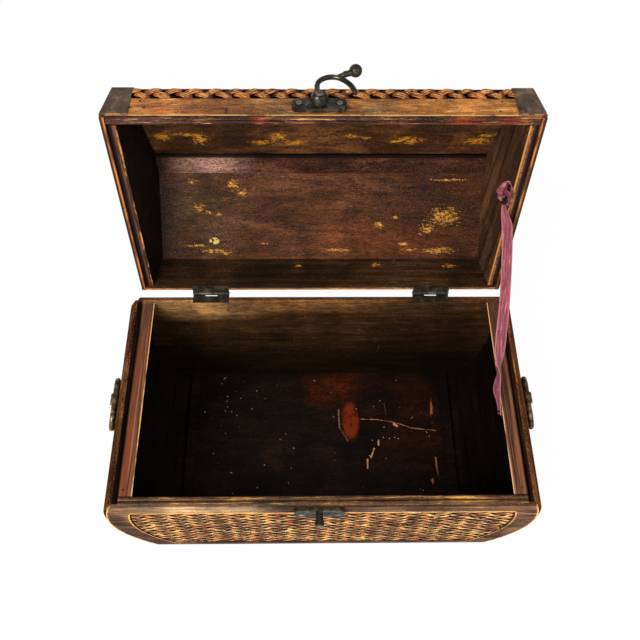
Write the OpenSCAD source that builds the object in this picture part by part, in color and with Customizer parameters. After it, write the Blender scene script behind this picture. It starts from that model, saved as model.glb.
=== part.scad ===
// Woven keepsake chest: a small wooden box with barrel-shaped ends, a ridged lid on two hinges,
// woven panels let into frames, a swinging hook latch, ring handles and a ribbon that stays the lid.
// Millimetres. The chest stands on z = 0, its front faces -Y, and the lid is drawn open.

/* [Body] */
// Height from the table to the plane of the rim
body_h = 136; // [120:1:160]
// Depth over the front and back frames at the rim
body_depth = 193; // [170:1:220]
// Clear width of the mouth at the rim
mouth_w = 300; // [270:1:340]
// Lean of the back, inward toward the bottom, in degrees
wall_lean = 3; // [1:0.5:4]
// Lean of the front, inward toward the bottom, in degrees
front_lean = 4.2; // [3:0.1:5]
// How far the front's top edge stands out past half of the body's depth
front_more = 2; // [1:0.1:2.5]
// Radius of the barrel-shaped inner face of each end
end_r = 128; // [122:1:140]
// Depth below the rim at which the ends swell the most
swell_drop = 54; // [48:1:60]
// Thickness of the board of each end
end_board_t = 10; // [8:0.5:12]
// Thickness of the ground that carries the weave of each end
ground_t = 3.8; // [3:0.1:5]
// Thickness of the frame around the weave of each end
end_frame_t = 4; // [3:0.1:5]
// Thickness of the front wall
front_wall_t = 5.8; // [5:0.1:8]
// Thickness of the back wall
back_wall_t = 3.5; // [3.2:0.1:6]
// Thickness of the frames on the front and back
frame_t = 3; // [2.5:0.1:4]
// Thickness of the base board
base_t = 8; // [6:0.5:10]
// Thickness of the raised floor panel
floor_t = 5; // [3:0.5:7]
// How far the floor panel stops short of the mouth's width on each side
floor_in = 29.5; // [28:0.5:40]
// Width of the cleat at each end of the floor
cleat_w = 10; // [6:0.5:10]
// Thickness of the floor cleats
cleat_t = 4; // [3:0.5:6]

/* [Frames and weave] */
// How far the end boards' outline reaches past the boards at the front and back frames
frame_reach = 5.5; // [4:0.5:7]
// How far the front frame's top edge reaches past the mouth on each side
frame_top_out = 14; // [12:0.5:16]
// Height of the cut corner of the front and back frames
corner_cut_h = 12; // [8:1:16]
// How far the end frames reach past the mouth at the rim
rim_out = 17.5; // [16:0.5:19]
// Height of the slope on the top edge of the end frames
edge_slope_h = 8; // [5:1:12]
// Depth of the groove between end board and end frame at the rim
groove_drop = 4.5; // [3:0.5:6]
// Width of the top rail above the front weave
top_rail_w = 22.5; // [20:0.5:28]
// Width of the side stiles beside the front weave
stile_w = 18.5; // [16:0.5:24]
// Width of the bottom rail below the front weave
bottom_rail_w = 8; // [6:0.5:14]
// How far the weave lies below the face of its frame
weave_sink = 0.8; // [0.4:0.1:1.5]
// Width of the frame around the weave of each end
end_rail_w = 20; // [16:1:26]
// Radius of the corners of the weave in the ends
window_r = 14; // [8:1:20]
// Width of each bead on the front rim of the body
bead_w = 4; // [3:0.1:4.2]
// Height of the beads on the body and the lid
bead_h = 2.5; // [2.2:0.1:3]

/* [Lid] */
// Angle by which the lid stands open in the drawing, in degrees
lid_open = 96.6; // [80:0.1:100]
// Gap between the closed lid and the body
rim_gap = 0.5; // [0.3:0.1:1]
// How far the lid's front and back are set in from half of the body's depth
lid_set_in = 2; // [1:0.1:2.5]
// Half width of the lid over its end frames at the rim
lid_half = 161; // [158:0.5:163]
// Lean of the lid's ends, inward toward the top, in degrees
lid_end_lean = 8.5; // [5:0.5:11]
// Height of the lid at its front and back eaves
eave_h = 36.5; // [34:0.5:42]
// Slope of the lid's two sides, in degrees
lid_slope = 21; // [16:0.5:26]
// Rounding of the eaves
eave_r = 5; // [3.5:0.5:8]
// Thickness of the weave on the lid
lid_weave_t = 2; // [1.5:0.1:3]
// Thickness of the sloping boards of the lid
slope_t = 4; // [3:0.5:6]
// Thickness of the boards on the lid's front and back
lid_board_t = 2.5; // [2:0.1:3]
// Height of the boards on the lid's front and back
lid_board_h = 22.5; // [21.5:0.5:25]
// Thickness of the lid's front wall
lid_front_t = 4.4; // [3.5:0.1:6]
// Thickness of the lid's back wall
lid_back_t = 3.4; // [3.2:0.1:5]
// Thickness of the frame around the weave of each lid end
lid_frame_t = 3.5; // [2.5:0.1:4.5]
// Thickness of the ground that carries the weave of each lid end
lid_ground_t = 1.5; // [1:0.1:2.5]
// Thickness of the board of each lid end
lid_end_t = 6; // [5:0.5:8]
// Width of the frame around the weave of each lid end
lid_rail_w = 12; // [9:1:16]
// Width of the batten under the ridge
batten_w = 20; // [14:1:28]
// How far the batten's edge stands below the sloping boards
batten_drop = 1.7; // [1:0.1:4]
// Length of the corner caps along the front and back
cap_len = 20; // [14:1:26]
// How far the plait reaches over the roof, measured along the depth
plait_in = 10.5; // [8:0.5:14]
// Thickness of the corner caps
cap_t = 0.8; // [0.5:0.1:1.2]

/* [Hinges] */
// Distance of each hinge's middle from the chest's middle
hinge_x = 99.5; // [80:0.5:115]
// Length of a hinge
hinge_len = 32.5; // [28:0.5:40]
// Outer radius of the knuckles
knuckle_r = 1.9; // [1.7:0.1:2.2]
// Radius of the hinge pin
hinge_pin_r = 0.7; // [0.6:0.05:0.9]
// Thickness of the hinge leaves
leaf_t = 0.9; // [0.7:0.1:1.2]
// Distance of the hinge axis behind the body's back face
hinge_back = 3.5; // [3.1:0.1:4.5]
// Height of the hinge axis above the body's rim
hinge_rise = 1.3; // [1.1:0.1:1.6]

/* [Latch] */
// Offset of the latch from the chest's middle
latch_x = -3.3; // [-20:0.1:20]
// Height of the hook's pivot above the lid's rim
pivot_h = 11.5; // [11:0.5:13]
// Depth of the strike post below the body's rim
post_drop = 9; // [8:0.5:10]
// Radius of the strike post
post_r = 2.8; // [2:0.1:3]
// Half thickness of the hook's round bar
bar_r = 1.9; // [1.5:0.1:2.2]
// Thickness of the latch plate
plate_t = 3.4; // [2.5:0.1:4]
// Half distance between the screws of the latch plate
plate_screw_x = 14.8; // [13:0.1:18]
// Thickness of the strike plate
strike_t = 3; // [2:0.1:3.5]
// Radius of the hook's hub
hub_r = 6.4; // [5.5:0.1:7]
// Radius of the rivet that carries the hook
rivet_r = 2; // [1.5:0.1:2.5]

/* [Handles] */
// Depth of the handle's axis below the rim
handle_drop = 12.5; // [11:0.5:16]
// Length of the ring along its wire's centre
ring_len = 44; // [36:1:56]
// Drop of the ring from its axis to its lower bar
ring_drop = 18; // [16:1:24]
// Radius of the ring's wire
wire_r = 2.4; // [2:0.1:2.8]
// Width of the strap that holds the ring
strap_w = 9; // [7:0.5:12]
// Thickness of the strap
strap_t = 1.4; // [1:0.1:1.8]

/* [Ribbon] */
// Width of the ribbon
ribbon_w = 10; // [8:0.5:12]
// Thickness of the ribbon
ribbon_t = 0.7; // [0.5:0.1:1]
// Distance of the ribbon's folded end from the lid's back, along the closed lid
fold_along = 112; // [100:1:125]
// Height of the tacks above the lid's rim
fold_h = 4.5; // [4:0.5:8]
// Radius of the loop that the ribbon's end makes
fold_r = 3.2; // [2:0.1:4]
// Distance between the two tacks in the lid
tack_gap = 12.5; // [10:0.5:16]
// Radius of the tacks' domed heads
tack_head_r = 3; // [2:0.1:3.5]
// Place of the ribbon's lower end, in front of the chest's middle
ribbon_foot_y = -16; // [-30:1:0]

/* [Hidden] */
$fn = 96;

// Clearances: glued faces, running fits, and loose pieces that pass each other
glue = 0.1;
run_fit = 0.06;
loose = 0.35;
big = 500;

// Radii of the layers of the ends, from the mouth outward
board_r = end_r + end_board_t;
ground_in_r = board_r + glue;
ground_r = ground_in_r + ground_t;
frame_in_r = ground_r + glue;
frame_r = frame_in_r + end_frame_t;
front_r = board_r + frame_reach;
swell_x = mouth_w / 2 - sqrt(end_r * end_r - swell_drop * swell_drop);
swell_z = body_h - swell_drop;
front_t = front_wall_t + frame_t;
back_t = back_wall_t + frame_t;
floor_z = base_t + floor_t;
floor_w = mouth_w - 2 * floor_in;
frame_top_half = mouth_w / 2 + frame_top_out;
rim_half = mouth_w / 2 + rim_out;

// The lid's layers, counted inward from its outer faces
lid_z = body_h + rim_gap;
lid_depth = body_depth - 2 * lid_set_in;
half_depth = lid_depth / 2;
lid_front_in = lid_board_t + lid_front_t;
lid_back_in = lid_board_t + lid_back_t;
cover_in = lid_weave_t + slope_t;
lid_ground_in = lid_frame_t + lid_ground_t;
lid_board_in = lid_ground_in + glue;
lid_mouth_in = lid_board_in + lid_end_t;
ridge_h = eave_h + half_depth * tan(lid_slope);
lid_bead_w = lid_front_in / 2;

hinge_y = body_depth / 2 + hinge_back;
hinge_z = body_h + hinge_rise;
leaf_in = 0.6;
screw_r = 0.8;
screw_head_r = 1.4;
screw_head_t = 0.5;
hinge_screw_len = 6;

// The hook turns about its pivot; its slot is an arc about the pivot that takes in the post
post_reach = pivot_h + rim_gap + post_drop;
slot_r = post_reach + post_r + loose + bar_r;
hook_lift = 10.4;
arm_x = -1.6;
arm_r = 11.1;
arm_c = [arm_x + arm_r, sqrt(pow(slot_r - arm_r, 2) - pow(arm_x + arm_r, 2))];
meet_angle = atan2(arm_c[1], arm_c[0]);
tip_angle = 10;
lever_angle = 76;
neck_x = 19.5;
neck_z = 26.3;
ball_x = 27;
ball_z = 29.4;
ball_r = 4.9;
ball_out = 0.8;
tip_len = 2.2;
joint_r = bar_r * 1.07;
arm_from = hub_r / 3;
plate_head_r = 2.4;
post_face_y = body_depth / 2 + front_more - post_drop * tan(front_lean);
hook_plane = half_depth + hook_lift - post_face_y;

// The ring hangs against the swelling end, a wire's clearance off it
ring_path_r = frame_r + wire_r + loose;
handle_x = swell_x + sqrt(pow(ring_path_r, 2) - pow(swell_drop - handle_drop, 2));
handle_z = body_h - handle_drop;
ring_lean = asin((swell_drop - handle_drop) / ring_path_r) - asin(ring_drop / (2 * ring_path_r));
collar_r = wire_r + run_fit + strap_t;
strap_root = 15;

wood = [0.36, 0.22, 0.12];
dark_wood = [0.20, 0.12, 0.08];
reed = [0.62, 0.38, 0.18];
red_wood = [0.33, 0.14, 0.10];
bronze = [0.20, 0.21, 0.18];
brass = [0.50, 0.40, 0.22];
velvet = [0.50, 0.22, 0.28];
hide = [0.17, 0.14, 0.12];

// Draws a shape of the XZ plane as a bar along Y
module across(len = big) {
    rotate([90, 0, 0]) linear_extrude(height = len, center = true) children();
}

// Draws a shape of the YZ plane as a bar along X
module along(len = 2 * big) {
    rotate([90, 0, 90]) linear_extrude(height = len, center = true) children();
}

// Region of the XZ plane inside both barrel-shaped ends, drawn at radius r
module barrel(r, z0 = 0, z1 = body_h) {
    intersection() {
        translate([-big / 2, z0]) square([big, z1 - z0]);
        for (side = [-1, 1]) translate([side * swell_x, swell_z]) circle(r, $fn = 240);
    }
}

// Both ends' circles joined, cut to the band between two heights
module barrels(r, z0 = 0, z1 = body_h) {
    intersection() {
        translate([-big / 2, z0]) square([big, z1 - z0]);
        union() for (side = [-1, 1]) translate([side * swell_x, swell_z]) circle(r, $fn = 240);
    }
}

// Right half of the shell between two radii
module end_ring(r0, r1, z0 = 0, z1 = body_h) {
    difference() {
        intersection() {
            barrels(r1, z0, z1);
            translate([0, -big]) square(2 * big);
        }
        translate([swell_x, swell_z]) circle(r0, $fn = 240);
        translate([-1, -big / 2]) square([swell_x + end_r / 2, big]);
    }
}

// Distance in Y of a leaning face that lies t inside the back of the body, at height z
function lean_y(t, z) = body_depth / 2 - t / cos(wall_lean) - (body_h - z) * tan(wall_lean);

// The same for the front
function front_y(t, z) =
    body_depth / 2 + front_more - t / cos(front_lean) - (body_h - z) * tan(front_lean);

// The space between the leaning front and back, tf and tb in from their outer faces
module lean_band(tf, tb) {
    low = -1;
    high = body_h + 10;
    along() polygon([[-front_y(tf, low), low], [lean_y(tb, low), low],
        [lean_y(tb, high), high], [-front_y(tf, high), high]]);
}

// A leaning layer of the front, from t0 to t1 inside its outer face
module front_layer(t0, t1) {
    low = -1;
    high = body_h + 10;
    along() polygon([[-front_y(t0, low), low], [-front_y(t1, low), low],
        [-front_y(t1, high), high], [-front_y(t0, high), high]]);
}

module back_layer(t0, t1) {
    low = -1;
    high = body_h + 10;
    along() polygon([[lean_y(t0, low), low], [lean_y(t1, low), low],
        [lean_y(t1, high), high], [lean_y(t0, high), high]]);
}

// Outline of the front frame: barrel ends with cut top corners
module frame_outline(top) {
    cut_z = body_h - corner_cut_h;
    cut_x = swell_x + sqrt(front_r * front_r - pow(swell_drop - corner_cut_h, 2));
    difference() {
        barrels(front_r, 0, top);
        for (side = [-1, 1]) polygon([[side * frame_top_half, body_h], [side * cut_x, cut_z],
            [side * big, cut_z], [side * big, body_h]]);
    }
}

// Opening for the weave in the front and back frames, drawn smaller by fit
module frame_window(fit = 0) {
    barrels(front_r - stile_w - fit, bottom_rail_w + fit, body_h - top_rail_w - fit);
}

// Opening for the weave in the ends, in the YZ plane, drawn smaller by fit
module end_window(fit = 0) {
    half = body_depth / 2 - frame_t - end_rail_w - swell_drop * tan(wall_lean) - fit;
    low = end_rail_w + fit;
    high = body_h - end_rail_w - fit;
    r = window_r - fit;
    translate([-half + r, low]) square([2 * (half - r), high - low]);
    translate([-half, low + r]) square([2 * half, high - low - 2 * r]);
    for (y = [-half + r, half - r], z = [low + r, high - r]) translate([y, z]) circle(r);
}

module front_shell(t0, t1) {
    intersection() {
        across() children();
        front_layer(t0, t1);
    }
}

module back_shell(t0, t1) {
    intersection() {
        across() children();
        back_layer(t0, t1);
    }
}

// Room for the hinge leaves, cut in the back of the body and of the lid
module hinge_mortises(y0, z0, z1) {
    for (side = [-1, 1]) translate([side * hinge_x, 0, 0])
        translate([-hinge_len / 2 - run_fit, y0 - run_fit, z0])
            cube([hinge_len + 2 * run_fit, 20, z1 - z0]);
}

body_leaf_y = lean_y(back_t, body_h) + leaf_in;
lid_leaf_y = half_depth - lid_back_in + leaf_in;
body_screw_y = body_leaf_y + screw_head_r + 0.2;
lid_screw_y = lid_leaf_y + screw_head_r + 0.2;
screw_gap_x = hinge_len * 0.3;

// Holes or shanks at the hinge screws, running down from z
module hinge_screw_row(y, r, z0, z1) {
    for (side = [-1, 1], s = [-1, 1])
        translate([side * hinge_x + s * screw_gap_x, y, z0]) cylinder(r = r, h = z1 - z0, $fn = 32);
}

// Base and floor
module base_board() {
    color(dark_wood) intersection() {
        across() barrels(end_r - glue, 0, base_t);
        lean_band(front_t + glue, back_t + glue);
    }
}

module floor_panel() {
    color(red_wood) intersection() {
        translate([-floor_w / 2, -big / 2, base_t]) cube([floor_w, big, floor_t]);
        lean_band(front_t + glue, back_t + glue);
    }
}

module floor_cleats() {
    color(dark_wood) intersection() {
        for (side = [-1, 1]) translate([side * (floor_w / 2 + cleat_w / 2 + glue), 0, base_t + cleat_t / 2])
            cube([cleat_w, big, cleat_t], center = true);
        lean_band(front_t + glue, back_t + glue);
        across() barrels(end_r - glue, 0, base_t + cleat_t + 1);
    }
}

// Walls of the body
module front_wall() {
    color(dark_wood) front_shell(frame_t, front_t) barrels(board_r, 0, body_h - bead_h);
}

module back_wall() {
    color(dark_wood) difference() {
        back_shell(frame_t, back_t) barrels(board_r, 0, body_h);
        hinge_mortises(body_leaf_y, body_h - leaf_t - run_fit, body_h + 1);
        hinge_screw_row(body_screw_y, screw_r + run_fit, body_h - hinge_screw_len - 0.2, body_h);
    }
}

module right_end_board() {
    difference() {
        intersection() {
            across() end_ring(end_r, board_r);
            lean_band(front_t, back_t);
        }
        strap_socket();
    }
}

module right_wall() {
    color(dark_wood) difference() {
        right_end_board();
        at_body_tack() cylinder(r = tack_r + tack_fit, h = tack_in + 0.5, $fn = 32);
    }
}

module left_wall() {
    color(dark_wood) mirror([1, 0, 0]) right_end_board();
}

// Frames around the weave
module front_frame() {
    color(wood) front_shell(0, frame_t) difference() {
        frame_outline(body_h - bead_h);
        frame_window();
    }
}

module back_frame() {
    color(wood) difference() {
        back_shell(0, frame_t) difference() {
            frame_outline(body_h);
            frame_window();
        }
        hinge_mortises(body_leaf_y, body_h - leaf_t - run_fit, body_h + 1);
    }
}

module right_end_frame() {
    slope_x = swell_x + sqrt(frame_r * frame_r - pow(swell_drop - edge_slope_h, 2));
    difference() {
        intersection() {
            across() difference() {
                end_ring(frame_in_r, frame_r);
                polygon([[rim_half, body_h], [slope_x, body_h - edge_slope_h],
                    [big, body_h - edge_slope_h], [big, body_h]]);
            }
            lean_band(frame_t, frame_t);
        }
        translate([big / 2, 0, 0]) along(big) end_window();
        strap_pocket();
    }
}

module right_frame() {
    color(wood) right_end_frame();
}

module left_frame() {
    color(wood) mirror([1, 0, 0]) right_end_frame();
}

// Woven panels
module front_weave() {
    color(reed) front_shell(weave_sink, frame_t) frame_window(glue);
}

module back_weave() {
    color(reed) back_shell(weave_sink, frame_t) frame_window(glue);
}

module right_end_weave() {
    difference() {
        union() {
            intersection() {
                across() end_ring(ground_in_r, ground_r, 0, body_h - groove_drop);
                lean_band(frame_t, frame_t);
            }
            intersection() {
                across() end_ring(ground_in_r, frame_r - weave_sink);
                translate([big / 2, 0, 0]) along(big) end_window(glue);
            }
        }
        strap_pocket();
        strap_socket();
    }
}

module right_weave() {
    color(reed) right_end_weave();
}

module left_weave() {
    color(reed) mirror([1, 0, 0]) right_end_weave();
}

// A half-round bead with its flat side at z = 0
module bead_profile(w) {
    intersection() {
        translate([0, bead_h - w / 2]) circle(w / 2, $fn = 48);
        translate([-w / 2, 0]) square([w, bead_h]);
    }
}

module front_rim_beads() {
    inner_y = -front_y(front_t, body_h);
    length = 2 * (rim_half - end_frame_t - ground_t + 1);
    color(dark_wood) for (i = [0, 1]) translate([0, inner_y - (i + 0.5) * bead_w, body_h - bead_h])
        along(length) bead_profile(bead_w - (i == 0 ? 0 : glue));
}

// Hinges
module knuckles(start, count, len) {
    for (i = [0 : count - 1]) translate([start + i * 2 * len, 0, 0]) children();
}

knuckle_len = hinge_len / 3;
knuckle_gap = 0.15;

module knuckle(len) {
    rotate([0, 90, 0]) cylinder(r = knuckle_r, h = len, center = true, $fn = 48);
}

// The leaf's flat from the wall to the axis, cut back where the other leaf has its knuckles
module leaf(y0, z0, places, other) {
    difference() {
        union() {
            translate([-hinge_len / 2, y0, z0]) cube([hinge_len, hinge_y - y0, leaf_t]);
            for (x = places) translate([x, hinge_y, hinge_z]) knuckle(knuckle_len - knuckle_gap);
        }
        for (x = other) translate([x, hinge_y, hinge_z])
            cube([knuckle_len + knuckle_gap, 2 * (knuckle_r + loose), 6], center = true);
        translate([0, hinge_y, hinge_z]) rotate([0, 90, 0])
            cylinder(r = hinge_pin_r + run_fit, h = big, center = true, $fn = 32);
    }
}

outer_places = [-knuckle_len, knuckle_len];

module hinge_body_leaves() {
    color(bronze) difference() {
        for (side = [-1, 1]) translate([side * hinge_x, 0, 0])
            leaf(body_leaf_y, body_h - leaf_t, outer_places, [0]);
        hinge_screw_row(body_screw_y, screw_r + run_fit, body_h - leaf_t - 1, body_h + 1);
        hinge_screw_row(body_screw_y, screw_head_r + run_fit, body_h - screw_head_t, body_h + 1);
    }
}

module hinge_pins() {
    color(bronze) for (side = [-1, 1]) translate([side * hinge_x, hinge_y, hinge_z])
        rotate([0, 90, 0]) cylinder(r = hinge_pin_r, h = hinge_len + 0.8, center = true, $fn = 32);
}

module hinge_body_screws() {
    color(bronze) {
        hinge_screw_row(body_screw_y, screw_r, body_h - hinge_screw_len, body_h - screw_head_t);
        hinge_screw_row(body_screw_y, screw_head_r, body_h - screw_head_t, body_h);
    }
}

// Handles
module at_handle() {
    translate([handle_x, 0, handle_z]) children();
}

// Where the strap's root is let into the end
module strap_socket() {
    at_handle() translate([-collar_r - strap_root, -strap_w / 2 - run_fit, -strap_t - run_fit])
        cube([strap_root + collar_r, strap_w + 2 * run_fit, 2 * (strap_t + run_fit)]);
}

// Where the strap's eye sinks into the frame
module strap_pocket() {
    half = collar_r + loose;
    strap_socket();
    at_handle() translate([-half, -strap_w / 2 - loose, -half])
        cube([4 * half, strap_w + 2 * loose, 2 * half]);
}

module right_strap() {
    difference() {
        union() {
            at_handle() rotate([90, 0, 0]) cylinder(r = collar_r, h = strap_w, center = true, $fn = 64);
            at_handle() translate([-collar_r - strap_root + run_fit, -strap_w / 2, -strap_t])
                cube([strap_root + collar_r, strap_w, 2 * strap_t]);
        }
        at_handle() rotate([90, 0, 0])
            cylinder(r = wire_r + run_fit, h = strap_w + 2, center = true, $fn = 64);
    }
}

module right_handle_strap() {
    color(brass) right_strap();
}

module left_handle_strap() {
    color(brass) mirror([1, 0, 0]) right_strap();
}

// An oval ring with its upper bar on the axis, hanging in the YZ plane
module ring() {
    bend = ring_drop / 2;
    straight = ring_len - ring_drop;
    for (z = [0, -ring_drop]) translate([0, 0, z]) rotate([90, 0, 0])
        cylinder(r = wire_r, h = straight, center = true, $fn = 48);
    for (s = [-1, 1]) translate([0, s * straight / 2, -bend]) rotate([0, 90, 0])
        rotate([0, 0, s * 90 - 90]) rotate_extrude(angle = 180, $fn = 96)
            translate([bend, 0]) circle(wire_r, $fn = 48);
}

module right_ring() {
    at_handle() rotate([0, -ring_lean, 0]) ring();
}

module right_handle_ring() {
    color(brass) right_ring();
}

module left_handle_ring() {
    color(brass) mirror([1, 0, 0]) right_ring();
}

// Latch on the body
module plate_shape(top, bottom) {
    lobe = 5.2;
    translate([-plate_screw_x, -bottom]) square([2 * plate_screw_x, top + bottom]);
    for (s = [-1, 1]) translate([s * plate_screw_x, top - lobe]) circle(lobe);
    for (s = [-1, 1]) translate([s * plate_screw_x, -bottom + lobe]) circle(lobe);
    for (s = [-1, 1]) translate([s * plate_screw_x - lobe, -bottom + lobe])
        square([2 * lobe, top + bottom - 2 * lobe]);
}

strike_top = body_h - bead_h - 0.5;
strike_high = strike_top - (body_h - post_drop);
strike_low = 14.5;
strike_screw_z = -6;
post_head_t = 5;
post_head_r = post_r + 0.8;

// Places things on the leaning front, at the height of the post
module at_strike() {
    translate([latch_x, -post_face_y, body_h - post_drop])
        rotate([front_lean, 0, 0]) rotate([90, 0, 0]) children();
}

module strike_plate() {
    color(bronze) difference() {
        at_strike() linear_extrude(height = strike_t) plate_shape(strike_high, strike_low);
        at_strike() for (s = [-1, 1]) translate([s * plate_screw_x, strike_screw_z, -1]) {
            cylinder(r = screw_r + run_fit, h = strike_t + 2, $fn = 32);
            translate([0, 0, 1 + strike_t - screw_head_t])
                cylinder(r = plate_head_r + run_fit, h = 3, $fn = 32);
        }
        translate([latch_x, -post_face_y, body_h - post_drop]) rotate([90, 0, 0])
            cylinder(r = post_r * 0.7 + run_fit, h = 20, $fn = 48);
    }
}

// The post stands square to the lid's front, so that the hook can turn behind its head

module strike_post() {
    head_from = hook_plane + bar_r + loose;
    head_to = head_from + post_head_t;
    root_r = post_r * 0.7;
    color(bronze) translate([latch_x, -post_face_y, body_h - post_drop]) rotate([90, 0, 0]) {
        translate([0, 0, 0.3]) cylinder(r = root_r, h = strike_t + 0.4, $fn = 48);
        translate([0, 0, strike_t + 0.3]) cylinder(r = post_r, h = head_to - strike_t - 0.6, $fn = 48);
        translate([0, 0, head_from]) cylinder(r = post_head_r, h = post_head_t - 0.6, $fn = 48);
        translate([0, 0, head_to - 0.6]) cylinder(r1 = post_head_r, r2 = post_r, h = 0.6, $fn = 48);
    }
}

module strike_screws() {
    color(bronze) at_strike() for (s = [-1, 1]) translate([s * plate_screw_x, strike_screw_z, 0]) {
        translate([0, 0, 0.02]) cylinder(r = screw_r, h = strike_t - screw_head_t, $fn = 32);
        translate([0, 0, strike_t - screw_head_t])
            cylinder(r = plate_head_r, h = screw_head_t + 0.5, $fn = 32);
    }
}

// The lid is drawn closed and then opened about the hinge axis
module opened() {
    translate([0, hinge_y, hinge_z]) rotate([-lid_open, 0, 0]) translate([0, -hinge_y, -hinge_z])
        translate([0, 0, lid_z]) children();
}

// Height of the lid's outer surface over a point y, lowered by s into the cover
function roof_h(y, s) = ridge_h - abs(y) * tan(lid_slope) - s / cos(lid_slope);

// Arc of the eave between the front face and the slope, f and s in from their outer faces
function eave_arc(f, s) =
    let (r = eave_r - min(f, s),
        cy = -(half_depth - f) + r,
        cz = roof_h(cy, s) - r / cos(lid_slope),
        steps = 6)
    [for (i = [0 : steps]) let (a = 180 - i * (90 - lid_slope) / steps) [cy + r * cos(a), cz + r * sin(a)]];

function flip(points) = [for (i = [len(points) - 1 : -1 : 0]) [-points[i][0], points[i][1]]];

// Section of the lid in the YZ plane, f inside the front and back and s below the cover
module lid_section(f, s, z0 = 0) {
    arc = eave_arc(f, s);
    polygon(concat([[-(half_depth - f), z0]], arc, [[0, roof_h(0, s)]], flip(arc),
        [[half_depth - f, z0]]));
}

// The same section with sharp eaves, for the inner layers
module lid_section_sharp(f, s, z0 = 0) {
    y = half_depth - f;
    polygon([[-y, z0], [-y, roof_h(y, s)], [0, roof_h(0, s)], [y, roof_h(y, s)], [y, z0]]);
}

// Region of the XZ plane between the leaning ends of the lid, e inside their outer faces
module lid_span(e) {
    low = -1;
    high = ridge_h + 10;
    lean = tan(lid_end_lean);
    polygon([[-(lid_half - e - low * lean), low], [lid_half - e - low * lean, low],
        [lid_half - e - high * lean, high], [-(lid_half - e - high * lean), high]]);
}

// A lid piece: a section carried along X and cut to the span e
module lid_bar(e) {
    intersection() {
        along() children();
        across() lid_span(e);
    }
}

module lid_front_wall() {
    color(wood) opened() lid_bar(lid_board_in) intersection() {
        lid_section_sharp(lid_board_t, cover_in, bead_h);
        translate([-big, 0]) square([big - half_depth + lid_front_in, big]);
    }
}

module lid_back_wall() {
    color(wood) opened() difference() {
        lid_bar(lid_board_in) intersection() {
            lid_section_sharp(lid_board_t, cover_in);
            translate([half_depth - lid_back_in, 0]) square([big, big]);
        }
        lid_mortises();
    }
}

module lid_mortises() {
    hinge_mortises(lid_leaf_y, -1, leaf_t + run_fit);
    hinge_screw_row(lid_screw_y, screw_r + run_fit, 0, hinge_screw_len + 0.2);
}

module lid_right_end_board() {
    opened() intersection() {
        translate([big / 2, 0, 0]) along(big) intersection() {
            lid_section_sharp(0, cover_in);
            translate([-half_depth + lid_front_in, -1]) square([lid_depth - lid_front_in - lid_back_in, big]);
        }
        across() difference() {
            lid_span(lid_board_in);
            lid_span(lid_mouth_in);
        }
    }
}

module lid_right_end() {
    color(dark_wood) difference() {
        lid_right_end_board();
        at_lid_tacks() cylinder(r = tack_r + tack_fit, h = tack_in + 0.3, $fn = 32);
    }
}

module lid_left_end() {
    color(dark_wood) mirror([1, 0, 0]) lid_right_end_board();
}

// Opening for the weave in the lid's ends
module lid_window(fit = 0) {
    lid_section_sharp(lid_rail_w + fit, lid_rail_w + fit, lid_rail_w + fit);
}

module lid_right_end_frame() {
    opened() intersection() {
        translate([big / 2, 0, 0]) along(big) difference() {
            lid_section(0, 0);
            lid_window();
        }
        across() difference() {
            lid_span(0);
            lid_span(lid_frame_t);
        }
    }
}

module lid_right_frame() {
    color(wood) lid_right_end_frame();
}

module lid_left_frame() {
    color(wood) mirror([1, 0, 0]) lid_right_end_frame();
}

module lid_right_end_weave() {
    opened() {
        intersection() {
            translate([big / 2, 0, 0]) along(big)
                lid_section_sharp(lid_board_t + glue, cover_in, groove_drop);
            across() difference() {
                lid_span(lid_frame_t + glue);
                lid_span(lid_ground_in);
            }
        }
        intersection() {
            translate([big / 2, 0, 0]) along(big) lid_window(glue);
            across() difference() {
                lid_span(weave_sink);
                lid_span(lid_ground_in);
            }
        }
    }
}

module lid_right_weave() {
    color(reed) lid_right_end_weave();
}

module lid_left_weave() {
    color(reed) mirror([1, 0, 0]) lid_right_end_weave();
}

// The two boards of the roof meet at the ridge
module roof_board() {
    difference() {
        lid_section_sharp(lid_board_t, lid_weave_t);
        lid_section_sharp(-1, cover_in, -1);
        translate([0, -1]) square([big, big]);
    }
}

module lid_front_slope() {
    color(wood) opened() lid_bar(lid_board_in) roof_board();
}

module lid_back_slope() {
    color(wood) opened() lid_bar(lid_board_in) mirror([1, 0]) roof_board();
}

module lid_weave() {
    half = half_depth - plait_in - glue;
    color(reed) opened() lid_bar(lid_frame_t + glue) difference() {
        lid_section_sharp(lid_board_t, 0);
        lid_section_sharp(-1, lid_weave_t, -1);
        for (side = [-1, 1]) translate([side * (half + big / 2), big / 2]) square(big, center = true);
    }
}

module ridge_batten() {
    half = batten_w / 2;
    low = roof_h(half, cover_in) - batten_drop;
    color(red_wood) opened() lid_bar(lid_mouth_in + glue) polygon([[-half, low],
        [-half, roof_h(half, cover_in)], [0, roof_h(0, cover_in)], [half, roof_h(half, cover_in)],
        [half, low]]);
}

module lid_face_board() {
    lid_bar(lid_frame_t + glue) translate([-half_depth, bead_h])
        square([lid_board_t, lid_board_h - bead_h]);
}

module lid_front_board() {
    color(wood) opened() lid_face_board();
}

module lid_back_board() {
    color(wood) opened() difference() {
        mirror([0, 1, 0]) lid_bar(lid_frame_t + glue) translate([-half_depth, 0])
            square([lid_board_t, lid_board_h]);
        lid_mortises();
    }
}

// The plait that wraps the eave, from the face board onto the roof
module lid_plait() {
    lid_bar(lid_frame_t + glue) difference() {
        lid_section(0, 0, lid_board_h);
        lid_section_sharp(lid_board_t, lid_weave_t, -1);
        translate([-half_depth + plait_in, 0]) square([big, big]);
    }
}

module lid_front_braid() {
    color(reed) opened() lid_plait();
}

module lid_back_braid() {
    color(reed) opened() mirror([0, 1, 0]) lid_plait();
}

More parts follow.
